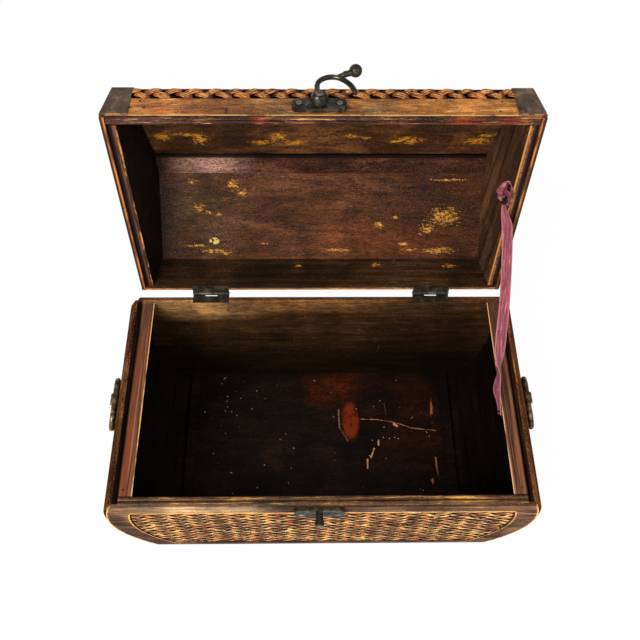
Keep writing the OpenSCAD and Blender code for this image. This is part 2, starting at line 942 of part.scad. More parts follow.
module lid_rim_beads() {
    length = 2 * (lid_half - lid_board_in + 1);
    color(dark_wood) opened() for (i = [0, 1])
        translate([0, -half_depth + lid_front_in - (i + 0.5) * lid_bead_w, bead_h])
            mirror([0, 0, 1]) along(length) bead_profile(lid_bead_w);
}

// Thin caps wrapped over the lid's corners, in the closed lid's own place
module corner_cap() {
    difference() {
        intersection() {
            along() lid_section(-cap_t, -cap_t, bead_h);
            across() lid_span(-cap_t);
            translate([lid_half - cap_len, -half_depth - 5, bead_h]) cube([big, cap_len + 5, big]);
        }
        intersection() {
            along() lid_section(0, 0, -1);
            across() lid_span(0);
        }
    }
}

module front_right_cap() {
    color(hide) opened() corner_cap();
}

module front_left_cap() {
    color(hide) opened() mirror([1, 0, 0]) corner_cap();
}

module back_right_cap() {
    color(hide) opened() mirror([0, 1, 0]) corner_cap();
}

module back_left_cap() {
    color(hide) opened() mirror([1, 0, 0]) mirror([0, 1, 0]) corner_cap();
}

module hinge_lid_leaves() {
    color(bronze) opened() translate([0, 0, -lid_z]) difference() {
        for (side = [-1, 1]) translate([side * hinge_x, 0, 0])
            leaf(lid_leaf_y, lid_z, [0], outer_places);
        hinge_screw_row(lid_screw_y, screw_r + run_fit, lid_z - 1, lid_z + leaf_t + 1);
        hinge_screw_row(lid_screw_y, screw_head_r + run_fit, lid_z - 1, lid_z + screw_head_t);
    }
}

module hinge_lid_screws() {
    color(bronze) opened() {
        hinge_screw_row(lid_screw_y, screw_r, screw_head_t, hinge_screw_len);
        hinge_screw_row(lid_screw_y, screw_head_r, 0, screw_head_t);
    }
}

// Latch on the lid; its own plane has the pivot at the origin and +Z away from the lid
module at_latch() {
    opened() translate([latch_x, -half_depth, pivot_h]) rotate([90, 0, 0]) children();
}

plate_high = 7;
plate_low = 5.5;
plate_screw_z = 1;

module latch_plate() {
    color(bronze) at_latch() difference() {
        linear_extrude(height = plate_t) plate_shape(plate_high, plate_low);
        for (s = [-1, 1]) translate([s * plate_screw_x, plate_screw_z, -1]) {
            cylinder(r = screw_r + run_fit, h = plate_t + 2, $fn = 32);
            translate([0, 0, 1 + plate_t - screw_head_t])
                cylinder(r = plate_head_r + run_fit, h = 3, $fn = 32);
        }
        translate([0, 0, -1]) cylinder(r = rivet_r + run_fit, h = plate_t + 2, $fn = 48);
    }
}

module latch_screws() {
    color(bronze) at_latch() for (s = [-1, 1]) translate([s * plate_screw_x, plate_screw_z, 0]) {
        translate([0, 0, 0.02]) cylinder(r = screw_r, h = plate_t - screw_head_t, $fn = 32);
        translate([0, 0, plate_t - screw_head_t])
            cylinder(r = plate_head_r, h = screw_head_t + 0.5, $fn = 32);
    }
}

hub_top = hook_lift + bar_r + 0.4;

module latch_rivet() {
    color(bronze) at_latch() {
        translate([0, 0, 0.05]) cylinder(r = rivet_r, h = hub_top + 0.2, $fn = 48);
        translate([0, 0, hub_top + 0.1]) cylinder(r1 = rivet_r + 1.1, r2 = rivet_r, h = 1, $fn = 48);
    }
}

// A round bar between two points of the hook's plane, with radii r0 and r1
module rod(a, b, r0, r1) {
    d = b - a;
    translate([a[0], a[1], 0]) rotate([0, 0, atan2(d[1], d[0])]) rotate([0, 90, 0])
        cylinder(r1 = r0, r2 = r1, h = norm(d), $fn = 40);
}

// A round bar bent about a centre, from angle a0 to a1
module bent_rod(centre, r, a0, a1) {
    translate([centre[0], centre[1], 0]) rotate([0, 0, a0])
        rotate_extrude(angle = a1 - a0, $fn = 96) translate([r, 0]) circle(bar_r, $fn = 40);
}

// A ball over a joint. Its seam is turned to a side that no rod leaves from
module knob(p, r, seam = 0) {
    translate([p[0], p[1], 0]) rotate([0, 0, seam]) sphere(r, $fn = 40);
}

// The arm's arc runs on smoothly into the slot's arc, which is drawn about the pivot
module latch_hook() {
    lever_root = arm_c + arm_r * 0.97 * [cos(lever_angle), sin(lever_angle)];
    neck_at = [neck_x, neck_z];
    ball_at = [ball_x, ball_z];
    neck_seam = 90 + atan2(ball_z - lever_root[1], ball_x - lever_root[0]);
    tip = slot_r * [cos(tip_angle), sin(tip_angle)];
    tip_end = tip + tip_len * [sin(tip_angle), -cos(tip_angle)];
    color(bronze) at_latch() difference() {
        union() {
            intersection() {
                translate([0, 0, (hub_top + plate_t) / 2]) sphere(hub_r, $fn = 64);
                translate([0, 0, plate_t + 0.15]) cylinder(r = 2 * hub_r, h = hub_top - plate_t - 0.15);
            }
            translate([0, 0, hook_lift]) {
                rod([arm_x, arm_from], [arm_x, arm_c[1]], bar_r * 1.19, bar_r);
                knob([arm_x, arm_c[1]], joint_r);
                bent_rod(arm_c, arm_r, meet_angle, 180);
                knob(slot_r * [cos(meet_angle), sin(meet_angle)], joint_r, meet_angle);
                bent_rod([0, 0], slot_r, tip_angle, meet_angle);
                knob(tip, joint_r, tip_angle);
                rod(tip, tip_end, bar_r, bar_r * 0.6);
                rod(lever_root, neck_at, bar_r * 0.8, bar_r * 1.1);
                knob(neck_at, bar_r * 1.3, neck_seam);
                rod(neck_at, ball_at, bar_r * 1.1, ball_r * 0.6);
                translate([0, 0, ball_out]) knob(ball_at, ball_r, neck_seam);
            }
        }
        cylinder(r = rivet_r + run_fit, h = 4 * hook_lift, $fn = 48);
    }
}

// Ribbon that stays the lid
function lid_point(x, y, h) =
    let (dy = y - hinge_y, dz = lid_z + h - hinge_z)
    [x, hinge_y + dy * cos(lid_open) + dz * sin(lid_open),
        hinge_z - dy * sin(lid_open) + dz * cos(lid_open)];

fold_y = half_depth - fold_along;
fold_face_x = lid_half - lid_mouth_in - fold_h * tan(lid_end_lean);
pad_t = 1.2;
fold_end_y = fold_y + tack_gap / 2 + 4.4;
tack_r = 0.7;
tack_fit = 0.05;
tack_in = 4.5;
dome_from = 1.5;
foot_x = mouth_w / 2 - ribbon_t / 2 - loose;
foot_at = [foot_x, ribbon_foot_y - 3, body_h - 5];
ribbon_sag = 5;
ribbon_steps = 40;
// The ribbon's middle, as [share of the way, distance from the chest's middle, turn of its width]
ribbon_way = [[0, fold_face_x - 2.63, 0], [0.035, fold_face_x - 2.63, 0], [0.1, foot_x + 1.9, 0],
    [0.25, foot_x + 3, 0], [0.5, foot_x + 1.7, 0], [0.66, foot_x - 1, 0], [0.8, foot_x - 0.9, 80],
    [0.88, foot_x - 2.9, 115], [1, foot_x, 90]];

function ease(t) = t * t * (3 - 2 * t);
function leg(s, i = 0) = i >= len(ribbon_way) - 2 || s <= ribbon_way[i + 1][0] ? i : leg(s, i + 1);
function along_way(s, k) =
    let (i = leg(s), a = ribbon_way[i], b = ribbon_way[i + 1])
    a[k] + (b[k] - a[k]) * ease((s - a[0]) / (b[0] - a[0]));
function half_width(s) = ribbon_w / 2 * (0.4 + 0.6 * ease(max(0, min(1, (s - 0.035) / 0.05))));

// Middle of the ribbon at a share s of its way from its fold to its foot
function ribbon_mid(s) =
    let (top = lid_point(0, fold_end_y, fold_h - 1))
    [along_way(s, 1), top[1] + (foot_at[1] - top[1]) * s,
        top[2] + (foot_at[2] - top[2]) * s - ribbon_sag * sin(180 * s)];

// The four corners of the ribbon's section at s, square to its way in the YZ plane
function ribbon_ring(s) =
    let (m = ribbon_mid(s), d = ribbon_mid(min(1, s + 0.01)) - ribbon_mid(max(0, s - 0.01)),
        n = norm([d[1], d[2]]), u = [0, -d[2] / n, d[1] / n], a = along_way(s, 2), h = half_width(s),
        w = h * [cos(a), u[1] * sin(a), u[2] * sin(a)],
        t = ribbon_t / 2 * [-sin(a), u[1] * cos(a), u[2] * cos(a)])
    [m + w + t, m - w + t, m - w - t, m + w - t];

module ribbon_stay() {
    n = ribbon_steps;
    points = [for (i = [0 : n], p = ribbon_ring(i / n)) p];
    walls = [for (i = [0 : n - 1], k = [0 : 3]) let (a = 4 * i + k, b = 4 * i + (k + 1) % 4)
        each [[a, b, b + 4], [a, b + 4, a + 4]]];
    color(velvet) difference() {
        polyhedron(points, concat(walls, [[3, 2, 1], [3, 1, 0]],
            [[4 * n, 4 * n + 1, 4 * n + 2], [4 * n, 4 * n + 2, 4 * n + 3]]), convexity = 4);
        at_body_tack() tack(1.8, loose + ribbon_t + 0.2, tack_fit);
    }
}

// Places things on the inner face of the lid's right end, +Z along the tack's shank
module at_lid_face() {
    opened() translate([fold_face_x, fold_y, fold_h]) rotate([0, 90 - lid_end_lean, 0]) children();
}

module at_lid_tacks() {
    at_lid_face() for (s = [-1, 1]) translate([0, s * tack_gap / 2, 0]) children();
}

// A tack with its shank along +Z; its domed head starts at -from
module tack(head_r, from, fit = 0) {
    translate([0, 0, -from]) cylinder(r = tack_r + fit, h = from + tack_in, $fn = 32);
    translate([0, 0, -from]) intersection() {
        translate([0, 0, head_r * 0.6]) sphere(head_r * 1.17 + fit, $fn = 40);
        translate([0, 0, -5 + fit]) cylinder(r = head_r + fit, h = 5, $fn = 40);
    }
}

module ribbon_fold() {
    half = tack_gap / 2 + 4;
    color(velvet) difference() {
        at_lid_face() {
            translate([-4, -half, -pad_t]) cube([8, 2 * half, pad_t - 0.1]);
            translate([-3.4, 0, -fold_r - 0.3]) rotate([90, 0, 0])
                cylinder(r = fold_r, h = 2 * half - 3, center = true, $fn = 48);
        }
        at_lid_tacks() translate([0, 0, -pad_t - 9]) cylinder(r = tack_head_r + 0.2, h = 9, $fn = 40);
        at_lid_tacks() cylinder(r = tack_r + tack_fit, h = 20, center = true, $fn = 32);
    }
}

module ribbon_lid_tacks() {
    color(bronze) at_lid_tacks() tack(tack_head_r, pad_t + 0.1);
}

module at_body_tack() {
    translate([mouth_w / 2, ribbon_foot_y, body_h - 5]) rotate([0, 90, 0]) children();
}

module ribbon_body_tack() {
    color(bronze) at_body_tack() tack(1.8, loose + ribbon_t + 0.2);
}

base_board();
floor_panel();
floor_cleats();
front_wall();
back_wall();
left_wall();
right_wall();
front_frame();
back_frame();
left_frame();
right_frame();
front_weave();
back_weave();
left_weave();
right_weave();
front_rim_beads();
strike_plate();
strike_post();
strike_screws();
hinge_body_leaves();
hinge_pins();
hinge_body_screws();
left_handle_strap();
right_handle_strap();
left_handle_ring();
right_handle_ring();
lid_front_wall();
lid_back_wall();
lid_left_end();
lid_right_end();
lid_left_frame();
lid_right_frame();
lid_left_weave();
lid_right_weave();
lid_front_slope();
lid_back_slope();
lid_weave();
ridge_batten();
lid_front_board();
lid_back_board();
lid_front_braid();
lid_back_braid();
lid_rim_beads();
front_left_cap();
front_right_cap();
back_left_cap();
back_right_cap();
hinge_lid_leaves();
hinge_lid_screws();
latch_plate();
latch_screws();
latch_rivet();
latch_hook();
ribbon_stay();
ribbon_fold();
ribbon_lid_tacks();
ribbon_body_tack();
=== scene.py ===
# %% [markdown]
# # A woven keepsake chest
#
# A small wooden box from about a century of use: barrel-shaped ends, a ridged lid that stands open on
# two hinges, woven straw panels let into every outer face, a plait nailed over the lid's eaves, a
# swinging hook latch and a faded ribbon that stays the lid.
#
# The solid parts come in from the CAD model, which fixes every size. This lesson dresses them: it
# weaves the panels, plaits the braid, hangs the ribbon, and mixes a finish for each kind of surface.

# %% Bring in the CAD model
import math

import bpy
import numpy as np
from mathutils import Matrix


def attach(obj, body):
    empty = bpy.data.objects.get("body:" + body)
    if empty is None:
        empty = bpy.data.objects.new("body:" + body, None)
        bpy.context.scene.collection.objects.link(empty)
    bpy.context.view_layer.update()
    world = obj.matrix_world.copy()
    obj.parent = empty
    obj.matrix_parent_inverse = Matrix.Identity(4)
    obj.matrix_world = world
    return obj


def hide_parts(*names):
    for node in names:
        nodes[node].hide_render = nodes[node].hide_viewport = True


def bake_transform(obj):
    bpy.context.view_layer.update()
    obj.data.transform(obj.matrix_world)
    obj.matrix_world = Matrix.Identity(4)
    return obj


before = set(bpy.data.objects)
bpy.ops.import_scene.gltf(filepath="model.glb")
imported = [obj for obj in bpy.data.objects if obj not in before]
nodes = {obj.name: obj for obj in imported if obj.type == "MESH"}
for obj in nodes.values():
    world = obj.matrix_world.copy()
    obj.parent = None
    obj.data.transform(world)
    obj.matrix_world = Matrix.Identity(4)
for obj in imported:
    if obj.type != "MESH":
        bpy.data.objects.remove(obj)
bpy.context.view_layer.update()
mm = 0.001
print("CAD nodes:", len(nodes))

# %% [markdown]
# ## The camera
#
# The picture was taken from in front and high above, so that one looks into the box and sees the
# inside of the lid behind it. The camera's place and turn were worked out from the box's corners.
# A camera looks along its own -Z, so the third column of its turn is the view direction reversed.

# %% Place the camera
camera_data = bpy.data.cameras.new("camera")
camera = bpy.data.objects.new("camera", camera_data)
bpy.context.scene.collection.objects.link(camera)
right = (0.99987944, -0.01027334, 0.01164282)
up = (0.00260074, 0.85004298, 0.52670691)
ahead = (0.01530794, 0.52661313, -0.84996722)
stands_at = (-0.01202, -0.30013, 0.73643)
turn = Matrix((right, up, tuple(-v for v in ahead))).transposed().to_4x4()
camera.matrix_world = Matrix.Translation(stands_at) @ turn
camera_data.sensor_width = 36
camera_data.lens = 44.557
camera_data.clip_start = 0.01
bpy.context.scene.camera = camera
print("camera looks down by", round(math.degrees(math.asin(-ahead[2])), 1), "degrees")

# %% [markdown]
# ## Numbers taken from the real chest
#
# Everything below is in millimetres and in the chest's own frame: X to the right, Y to the back, Z up
# from the table. The lid's own parts are easiest to think of with the lid shut, so a small function
# swings such points open about the hinge, exactly as the CAD model does.

# %% The chest's sizes
RIM = 136.0                  # height of the body's rim
MOUTH_HALF = 150.0           # half the width of the body's opening
DEPTH = 193.0                # depth of the body at the rim, without the front's extra reach
FRONT_MORE = 2.0
FRAME_T = 3.0                # thickness of the front and back frames
TOP_RAIL, BOTTOM_RAIL, END_RAIL = 22.5, 8.0, 20.0    # widths of the frames' rails
FRONT_LEAN, BACK_LEAN = math.radians(4.2), math.radians(3.0)
INNER_R, OUTER_R = 128.0, 146.0              # the barrel-shaped ends' circles, inside and outside
SWELL_Z = 82.0                               # height of their middle
SWELL_X = MOUTH_HALF - math.sqrt(INNER_R ** 2 - (RIM - SWELL_Z) ** 2)
WINDOW_R, WINDOW_LOW, WINDOW_TOP = 125.0, BOTTOM_RAIL, RIM - TOP_RAIL
FACE_SINK = 0.8              # how far the weave's face lies under its frame
HINGE_Y, HINGE_Z, LID_Z = 100.0, 137.3, 136.5
LID_OPEN = math.radians(96.6)
OPEN_COS, OPEN_SIN = math.cos(LID_OPEN), math.sin(LID_OPEN)
HALF_DEPTH, LID_HALF, EAVE = 94.5, 161.0, 36.5       # the lid's half depth and width, and eaves' height
SLOPE, END_LEAN = math.radians(21), math.radians(8.5)        # of its roof and of its ends
RIDGE = EAVE + HALF_DEPTH * math.tan(SLOPE)


def swing(points):
    """Points of the shut lid (x, y, height over its rim), turned about the hinge by the open angle."""
    x, y, h = np.moveaxis(np.asarray(points, float), -1, 0)
    dy, dz = y - HINGE_Y, h + LID_Z - HINGE_Z
    return np.stack([x, HINGE_Y + dy * OPEN_COS + dz * OPEN_SIN,
                     HINGE_Z - dy * OPEN_SIN + dz * OPEN_COS], -1)


def shut(points):
    """The reverse of swing: from the open lid back to the shut one."""
    x, y, z = np.moveaxis(np.asarray(points, float), -1, 0)
    dy, dz = y - HINGE_Y, z - HINGE_Z
    return np.stack([x, HINGE_Y + dy * OPEN_COS - dz * OPEN_SIN,
                     dy * OPEN_SIN + dz * OPEN_COS + HINGE_Z - LID_Z], -1)


def lid_way(directions):
    """Directions of the shut lid, turned open with it."""
    return swing(directions) - swing(np.zeros(3))


print("ridge stands", round(RIDGE, 1), "mm over the lid's rim")

# %% [markdown]
# ## Turning arrays into meshes
#
# Every new piece here is a surface on a grid of two parameters. One helper numbers the grid's
# four-sided faces, another puts points and faces into a mesh. Both work on whole arrays, which is
# fast and keeps the shape's formula readable.

# %% Mesh helpers
def grid(rows, cols, around=False):
    """Faces of a grid whose corner (i, j) is number i * cols + j. around joins its last column to its
    first."""
    i, j = np.meshgrid(np.arange(rows - 1), np.arange(cols if around else cols - 1), indexing="ij")
    k = (j + 1) % cols
    return np.stack([i * cols + j, (i + 1) * cols + j, (i + 1) * cols + k, i * cols + k], -1).reshape(-1, 4)


def make_piece(name, points, faces, material, smooth=True, **numbers):
    """An object from points in millimetres and faces that all have the same number of corners. numbers
    are vectors for the material to read, one for each point or one for each corner of each face."""
    mesh = bpy.data.meshes.new(name)
    points = (np.asarray(points, float).reshape(-1, 3) * mm).astype(np.float32)
    faces = np.asarray(faces, np.int32)
    mesh.vertices.add(len(points))
    mesh.vertices.foreach_set("co", points.ravel())
    mesh.loops.add(faces.size)
    mesh.loops.foreach_set("vertex_index", faces.ravel())
    mesh.polygons.add(len(faces))
    mesh.polygons.foreach_set("loop_start", np.arange(len(faces), dtype=np.int32) * faces.shape[1])
    mesh.polygons.foreach_set("loop_total", np.full(len(faces), faces.shape[1], np.int32))
    mesh.update(calc_edges=True)
    if smooth:
        mesh.shade_smooth()
    else:
        mesh.shade_flat()
    for key, values in numbers.items():
        values = np.asarray(values, np.float32).reshape(-1, 3)
        domain = "POINT" if len(values) == len(points) else "CORNER"
        mesh.attributes.new(key, "FLOAT_VECTOR", domain).data.foreach_set("vector", values.ravel())
    mesh.materials.append(material)
    obj = bpy.data.objects.new(name, mesh)
    bpy.context.scene.collection.objects.link(obj)
    return obj


def fit(obj, body, node=None):
    """Ties a new piece to the body it moves with, and hides the CAD node it stands for."""
    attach(obj, body)
    if node:
        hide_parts(node)


ON_FACE, SINK = 0.05, 1.5    # how near to a face a point counts as on it, and how far faces are sunk


def lowered(node, distance, normal_of):
    """A copy of a CAD node whose outer face is moved inward. distance gives how far each point lies over
    the outer face, and points on it are moved against their normal."""
    mesh = nodes[node].data
    points = np.zeros(len(mesh.vertices) * 3, np.float32)
    mesh.vertices.foreach_get("co", points)
    faces = np.zeros(len(mesh.loops), np.int32)
    mesh.loops.foreach_get("vertex_index", faces)
    points, place = np.unique(np.round(points.reshape(-1, 3) / mm, 3), axis=0, return_inverse=True)
    faces = place.ravel()[faces].reshape(-1, 3)
    faces = faces[(faces != np.roll(faces, -1, 1)).all(1)]
    on_face = np.abs(distance(points)) < ON_FACE
    print(node, "points moved in:", int(on_face.sum()))
    return points - normal_of(points) * (on_face * SINK)[:, None], faces


# %% [markdown]
# ## Mixing finishes
#
# Old varnished wood is never one colour. It has long streaks along the grain, fine pores, cloudy
# patches where the varnish has darkened, and golden bare wood where hands and edges have rubbed it.
# Each of those is a noise texture on the object's own coordinates, stretched along the grain, and they
# are laid one over the other. A few helpers keep each finish short. In them a colour is written as it
# looks on a screen, red, green and blue from 0 to 255, and a length in millimetres.

# %% Node helpers
def rgb(r, g, b):
    """A screen colour as the linear numbers that shaders use."""
    values = np.array([r, g, b]) / 255
    linear = np.where(values <= 0.04045, values / 12.92, ((values + 0.055) / 1.055) ** 2.4)
    return (*linear.tolist(), 1.0)


def shade(colour, share, most=math.inf):
    """A colour made darker or lighter by a share, up to a limit."""
    return tuple(min(v * share, most) for v in colour)


class Tree:
    """The node tree of a material or a world, and short calls that add nodes to it."""

    def __init__(self, owner):
        owner.use_nodes = True
        self.tree = owner.node_tree

    def put(self, socket, value):
        """A link where the value comes from another node, and a plain number or colour otherwise."""
        if isinstance(value, bpy.types.NodeSocket):
            self.tree.links.new(value, socket)
        else:
            socket.default_value = rgb(*value) if socket.type == "RGBA" else value

    def node(self, kind, values=(), **settings):
        node = self.tree.nodes.new(kind)
        for key, value in settings.items():
            setattr(node, key, value)
        for index, value in dict(values).items():
            self.put(node.inputs[index], value)
        return node

    def math(self, operation, a, b=0.0, c=0.0, clamp=False):
        node = self.node("ShaderNodeMath", {0: a, 1: b, 2: c}, operation=operation, use_clamp=clamp)
        return node.outputs[0]

    def times(self, a, b):
        return self.math("MULTIPLY", a, b)

    def add(self, a, b, share=1.0):
        """a plus b times the share."""
        return self.math("MULTIPLY_ADD", b, share, a)

    def largest(self, *values):
        total = values[0]
        for value in values[1:]:
            total = self.math("MAXIMUM", total, value)
        return total

    def mix_shaders(self, amount, a, b, output):
        """Shader b in the place of shader a by an amount, linked to the tree's output node."""
        shader = self.node("ShaderNodeMixShader", {0: amount, 1: a, 2: b}).outputs[0]
        self.put(self.tree.nodes[output].inputs[0], shader)


class Finish(Tree):
    """A material with one Principled shader. Its colour starts as a ramp, and lay puts more over it."""

    def __init__(self, name, roughness, **more):
        self.material = bpy.data.materials.new(name)
        super().__init__(self.material)
        self.shader = self.tree.nodes["Principled BSDF"]
        for socket, value in dict(Roughness=roughness, **more).items():
            self.put(self.shader.inputs[socket.replace("_", " ")], value)
        self.metres = self.node("ShaderNodeTexCoord").outputs["Object"]
        self.place = self.vector("MULTIPLY", self.metres, (1 / mm, 1 / mm, 1 / mm))

    def vector(self, operation, a, b=(0, 0, 0), out="Vector"):
        return self.node("ShaderNodeVectorMath", {0: a, 1: b}, operation=operation).outputs[out]

    def from_point(self, point):
        """The way from a point to the place that is coloured."""
        return self.vector("SUBTRACT", self.place, point)

    def length(self, vector):
        return self.vector("LENGTH", vector, out="Value")

    def join(self, x=0.0, y=0.0, z=0.0):
        return self.node("ShaderNodeCombineXYZ", {0: x, 1: y, 2: z}).outputs[0]

    def parts(self, vector=None):
        """The three numbers of a vector, or of the place in millimetres."""
        return self.node("ShaderNodeSeparateXYZ", {0: vector or self.place}).outputs

    def carried(self, name):
        """Three numbers that the mesh carries under a name."""
        return self.parts(self.node("ShaderNodeAttribute", attribute_name=name).outputs["Vector"])

    def stretch(self, spots, at=None):
        """Coordinates for a texture of so many spots per metre: one number, or one each for X, Y and Z."""
        spots = tuple(spots) if isinstance(spots, (tuple, list)) else (spots, spots, spots)
        return self.node("ShaderNodeMapping", {"Vector": at or self.metres, "Scale": spots}).outputs[0]

    def noise(self, spots, detail=4, rough=0.55, twist=0.0, at=None):
        values = {"Vector": self.stretch(spots, at), "Scale": 1.0, "Detail": detail, "Roughness": rough,
                  "Distortion": twist}
        return self.node("ShaderNodeTexNoise", values).outputs["Fac"]

    def ramp(self, value, *stops):
        """Colours by value: each stop is (position, colour)."""
        node = self.node("ShaderNodeValToRGB", {"Fac": value})
        while len(node.color_ramp.elements) < len(stops):
            node.color_ramp.elements.new(0.5)
        for element, (position, colour) in zip(node.color_ramp.elements, stops):
            element.position = position
            element.color = rgb(*colour)
        return node.outputs["Color"]

    def band(self, value, start, end, low=0.0, high=1.0):
        """A smooth step from low at start to high at end."""
        values = {"Value": value, "From Min": start, "From Max": end, "To Min": low, "To Max": high}
        return self.node("ShaderNodeMapRange", values, interpolation_type="SMOOTHSTEP").outputs[0]

    def near(self, value, at, width):
        """1 where the value is at a level, falling to 0 at the width away from it."""
        return self.band(self.math("ABSOLUTE", self.math("SUBTRACT", value, at)), width, 0.0)

    def spot(self, centre, size):
        """A soft patch: 1 at its centre, falling to 0 at the size away along each axis."""
        values = {"Vector": self.from_point(centre), "Scale": tuple(1 / s for s in size)}
        return self.band(self.length(self.node("ShaderNodeMapping", values).outputs[0]), 1.0, 0.0)

    def lid_height(self):
        """Height over the lid's rim of a point of the open lid."""
        way = self.from_point((0, HINGE_Y, HINGE_Z))
        up = self.vector("DOT_PRODUCT", way, (0, OPEN_SIN, OPEN_COS), out="Value")
        return self.add(up, HINGE_Z - LID_Z)

    def mix(self, amount, a, b):
        """Colour a with colour b laid over it by an amount."""
        return self.node("ShaderNodeMix", {0: amount, 6: a, 7: b}, data_type="RGBA").outputs[2]

    def lay(self, amount, colour):
        """Lays a colour over the finish by an amount."""
        self.colour = self.mix(amount, self.colour, colour)

    def done(self, height, strength, depth, roughness=None):
        """Links the colour, and bumps from a height whose full swing is the depth in millimetres."""
        values = {"Height": height, "Strength": strength, "Distance": depth * mm}
        self.put(self.shader.inputs["Normal"], self.node("ShaderNodeBump", values).outputs[0])
        self.put(self.shader.inputs["Base Color"], self.colour)
        if roughness is not None:
            self.put(self.shader.inputs["Roughness"], roughness)
        return self.material


def finish(material, on):
    """Puts a material on the CAD nodes whose names stand in one string."""
    for name in on.split():
        for place in nodes[name].material_slots:
            place.material = material
    return material


print("finish helpers ready")


# %% [markdown]
# ## Wood
#
# One recipe serves every board; what changes is the grain's direction, the colours, and where the
# varnish has worn through. The streaks come first, then soft zones where a board is lighter, darker or
# redder, then pores and dark clouds, and last the wear, strongest where a board has an edge that hands
# touch. A fine speckle over everything gives the grit that old varnish has.

# %% The wood recipe
ALONG_X, ALONG_Y, ALONG_Z = (9, 170, 170), (170, 9, 170), (170, 170, 9)


def wood(name, on, dark, middle, light, bare, grain=ALONG_X, worn=0.1, clouds=0.5, rough=0.5, rub=None,
         zones=(), marks=(), grit=0.5, shine=0.3):
    """Streaks from dark over middle to light; soft zones (centre, reach, colour, amount); pores; grit;
    clouds that darken by their share; and the colour bare where a threshold on noise, raised by the rub
    mask, lets the wood through. Each of the marks may lay more over it."""
    f = Finish(name, rough, Specular_IOR_Level=shine)
    streak = f.noise(grain, 7, 0.66, twist=0.5)
    cloud = f.noise(22, 5, 0.62, twist=0.5)
    f.colour = f.ramp(streak, (0.34, dark), (0.5, middle), (0.66, light))
    for centre, reach, tint, amount in zones:
        share = f.times(f.spot(centre, reach), f.band(cloud, 0.3, 0.6, amount * 0.7, amount))
        f.lay(share, f.ramp(streak, (0.34, shade(tint, 0.72)), (0.66, shade(tint, 1.18))))
    speck = f.noise(1100, 2, 0.7)
    pore = f.noise(shade(grain, 7), 3, 0.6)
    f.lay(f.band(pore, 0.38, 0.54, 0.6, 0.0), shade(dark, 0.3))
    f.lay(f.band(speck, 0.35, 0.5, grit, 0.0), shade(dark, 0.3))
    f.lay(f.band(speck, 0.56, 0.7, 0.0, grit * 0.6), shade(light, 1.7, 255))
    f.lay(f.band(cloud, 0.38, 0.6, clouds, 0.0), shade(dark, 0.35))
    through = f.add(f.noise(shade(grain, 2.6), 8, 0.74, twist=0.6), cloud, 0.35)
    if rub:
        through = f.add(through, rub(f), 0.3)
    edge = 0.86 - worn * 0.6
    f.lay(f.band(through, edge - 0.02, edge + 0.08, 0.0, 0.95), bare)
    for mark in marks:
        mark(f)
    height = f.add(f.add(streak, speck, 0.5), pore, 0.6)
    return finish(f.done(height, 0.45, 0.5, f.band(cloud, 0.3, 0.7, rough + 0.12, rough - 0.1)), on)


print("wood recipe ready")

# %% [markdown]
# ## The outer frames
#
# The frames round the woven panels are grey-brown, rubbed to gold along the top edge, round the
# window and on the outer curve. Those lines have simple formulas: a height, or a distance from the
# middle of the barrel's circle, so the wear mask is worked out from the position alone.

# %% Frame wood
def barrel_radius(f):
    """Height, and distance from the middle of the barrel-shaped end's circle."""
    x, y, z = f.parts()
    across = f.math("SUBTRACT", f.math("ABSOLUTE", x), SWELL_X)
    return z, f.length(f.join(x=across, z=f.math("SUBTRACT", z, SWELL_Z)))


def frame_rub(f):
    """1 near the rim, the window's edge and the outer curve of the barrel-shaped frames."""
    z, radius = barrel_radius(f)
    top = f.times(f.near(z, WINDOW_TOP, 4.6), f.band(radius, WINDOW_R + 1.2, WINDOW_R - 0.2))
    side = f.times(f.near(radius, WINDOW_R + 0.6, 0.9),
                   f.band(z, WINDOW_TOP + 5.5, WINDOW_TOP - 1, 0.0, 0.8))
    return f.largest(f.near(z, RIM, 1.6), f.near(radius, OUTER_R - 2.3, 2.4), side, top)


wood("frame wood", "front_frame", (48, 27, 14), (96, 60, 34), (150, 102, 62), (246, 184, 100),
     worn=0.12, shine=0.03, rub=frame_rub,
     zones=[((-150, -95, 100), (22, 50, 30), (196, 128, 66), 0.8),
            ((150, -95, 100), (22, 50, 30), (186, 112, 60), 0.8),
            # This zone is a painted highlight: light falling on the left part of the top rail.
            ((-108, -95, 128), (90, 50, 34), (255, 206, 152), 1.0),
            ((4, -95, 126), (66, 50, 22), (92, 58, 34), 0.95),
            ((95, -95, 126), (70, 50, 22), (72, 40, 20), 0.95)])
wood("back frame wood", "back_frame", (48, 29, 17), (92, 60, 37), (138, 94, 60), (210, 154, 92), shine=0.05)


def end_rub(f):
    """The outer arris of the end frames, where the barrel meets the rim."""
    z, radius = barrel_radius(f)
    return f.times(f.band(z, RIM - 1.5, RIM), f.near(radius, OUTER_R, 1.2))


wood("end frame wood", "left_frame right_frame", (48, 27, 16), (104, 64, 39), (154, 98, 60), (212, 138, 72),
     grain=ALONG_Y, worn=0.12, rub=end_rub, shine=0.0)
print("frames finished")

# %% [markdown]
# ## Inside the body
#
# The inside was stained nearly black-brown. The back wall is painted lighter along its top, most at its
# upper left, as painted light where light falls on it, and darker toward the floor as painted shade. The
# tops of the end boards, which form the rim at either side, are reddish brown with a red streak, dark
# cracks, and a line of bare wood along the inner edge.

# %% Inner wood
wood("inner wood", "front_wall base_board floor_cleats", (16, 9, 5), (30, 18, 9), (44, 28, 15),
     (110, 72, 36), worn=0.01, clouds=0.7, rough=0.6, shine=0.1)


def scratches_and_shade(f):
    """A pale curved scratch and two dark nail holes in the back wall, and painted shade that darkens it
    toward the floor.
    """
    arc = f.near(f.length(f.from_point((36, 94.5, 62))), 23, 0.5)
    f.lay(f.times(f.times(arc, f.spot((58.5, 94.5, 59), (6, 30, 13))), 0.7), (150, 112, 76))
    hole = f.largest(f.spot((-84.5, 90.5, 125.5), (1.6, 20, 1.6)),
                     f.spot((-106.5, 90.5, 129), (0.9, 20, 0.9)))
    f.lay(f.band(hole, 0.1, 0.5), (8, 5, 3))
    # Painted shade: darker toward the floor.
    f.lay(f.times(f.band(f.parts()[2], 95, 30), 0.8), (14, 8, 4))


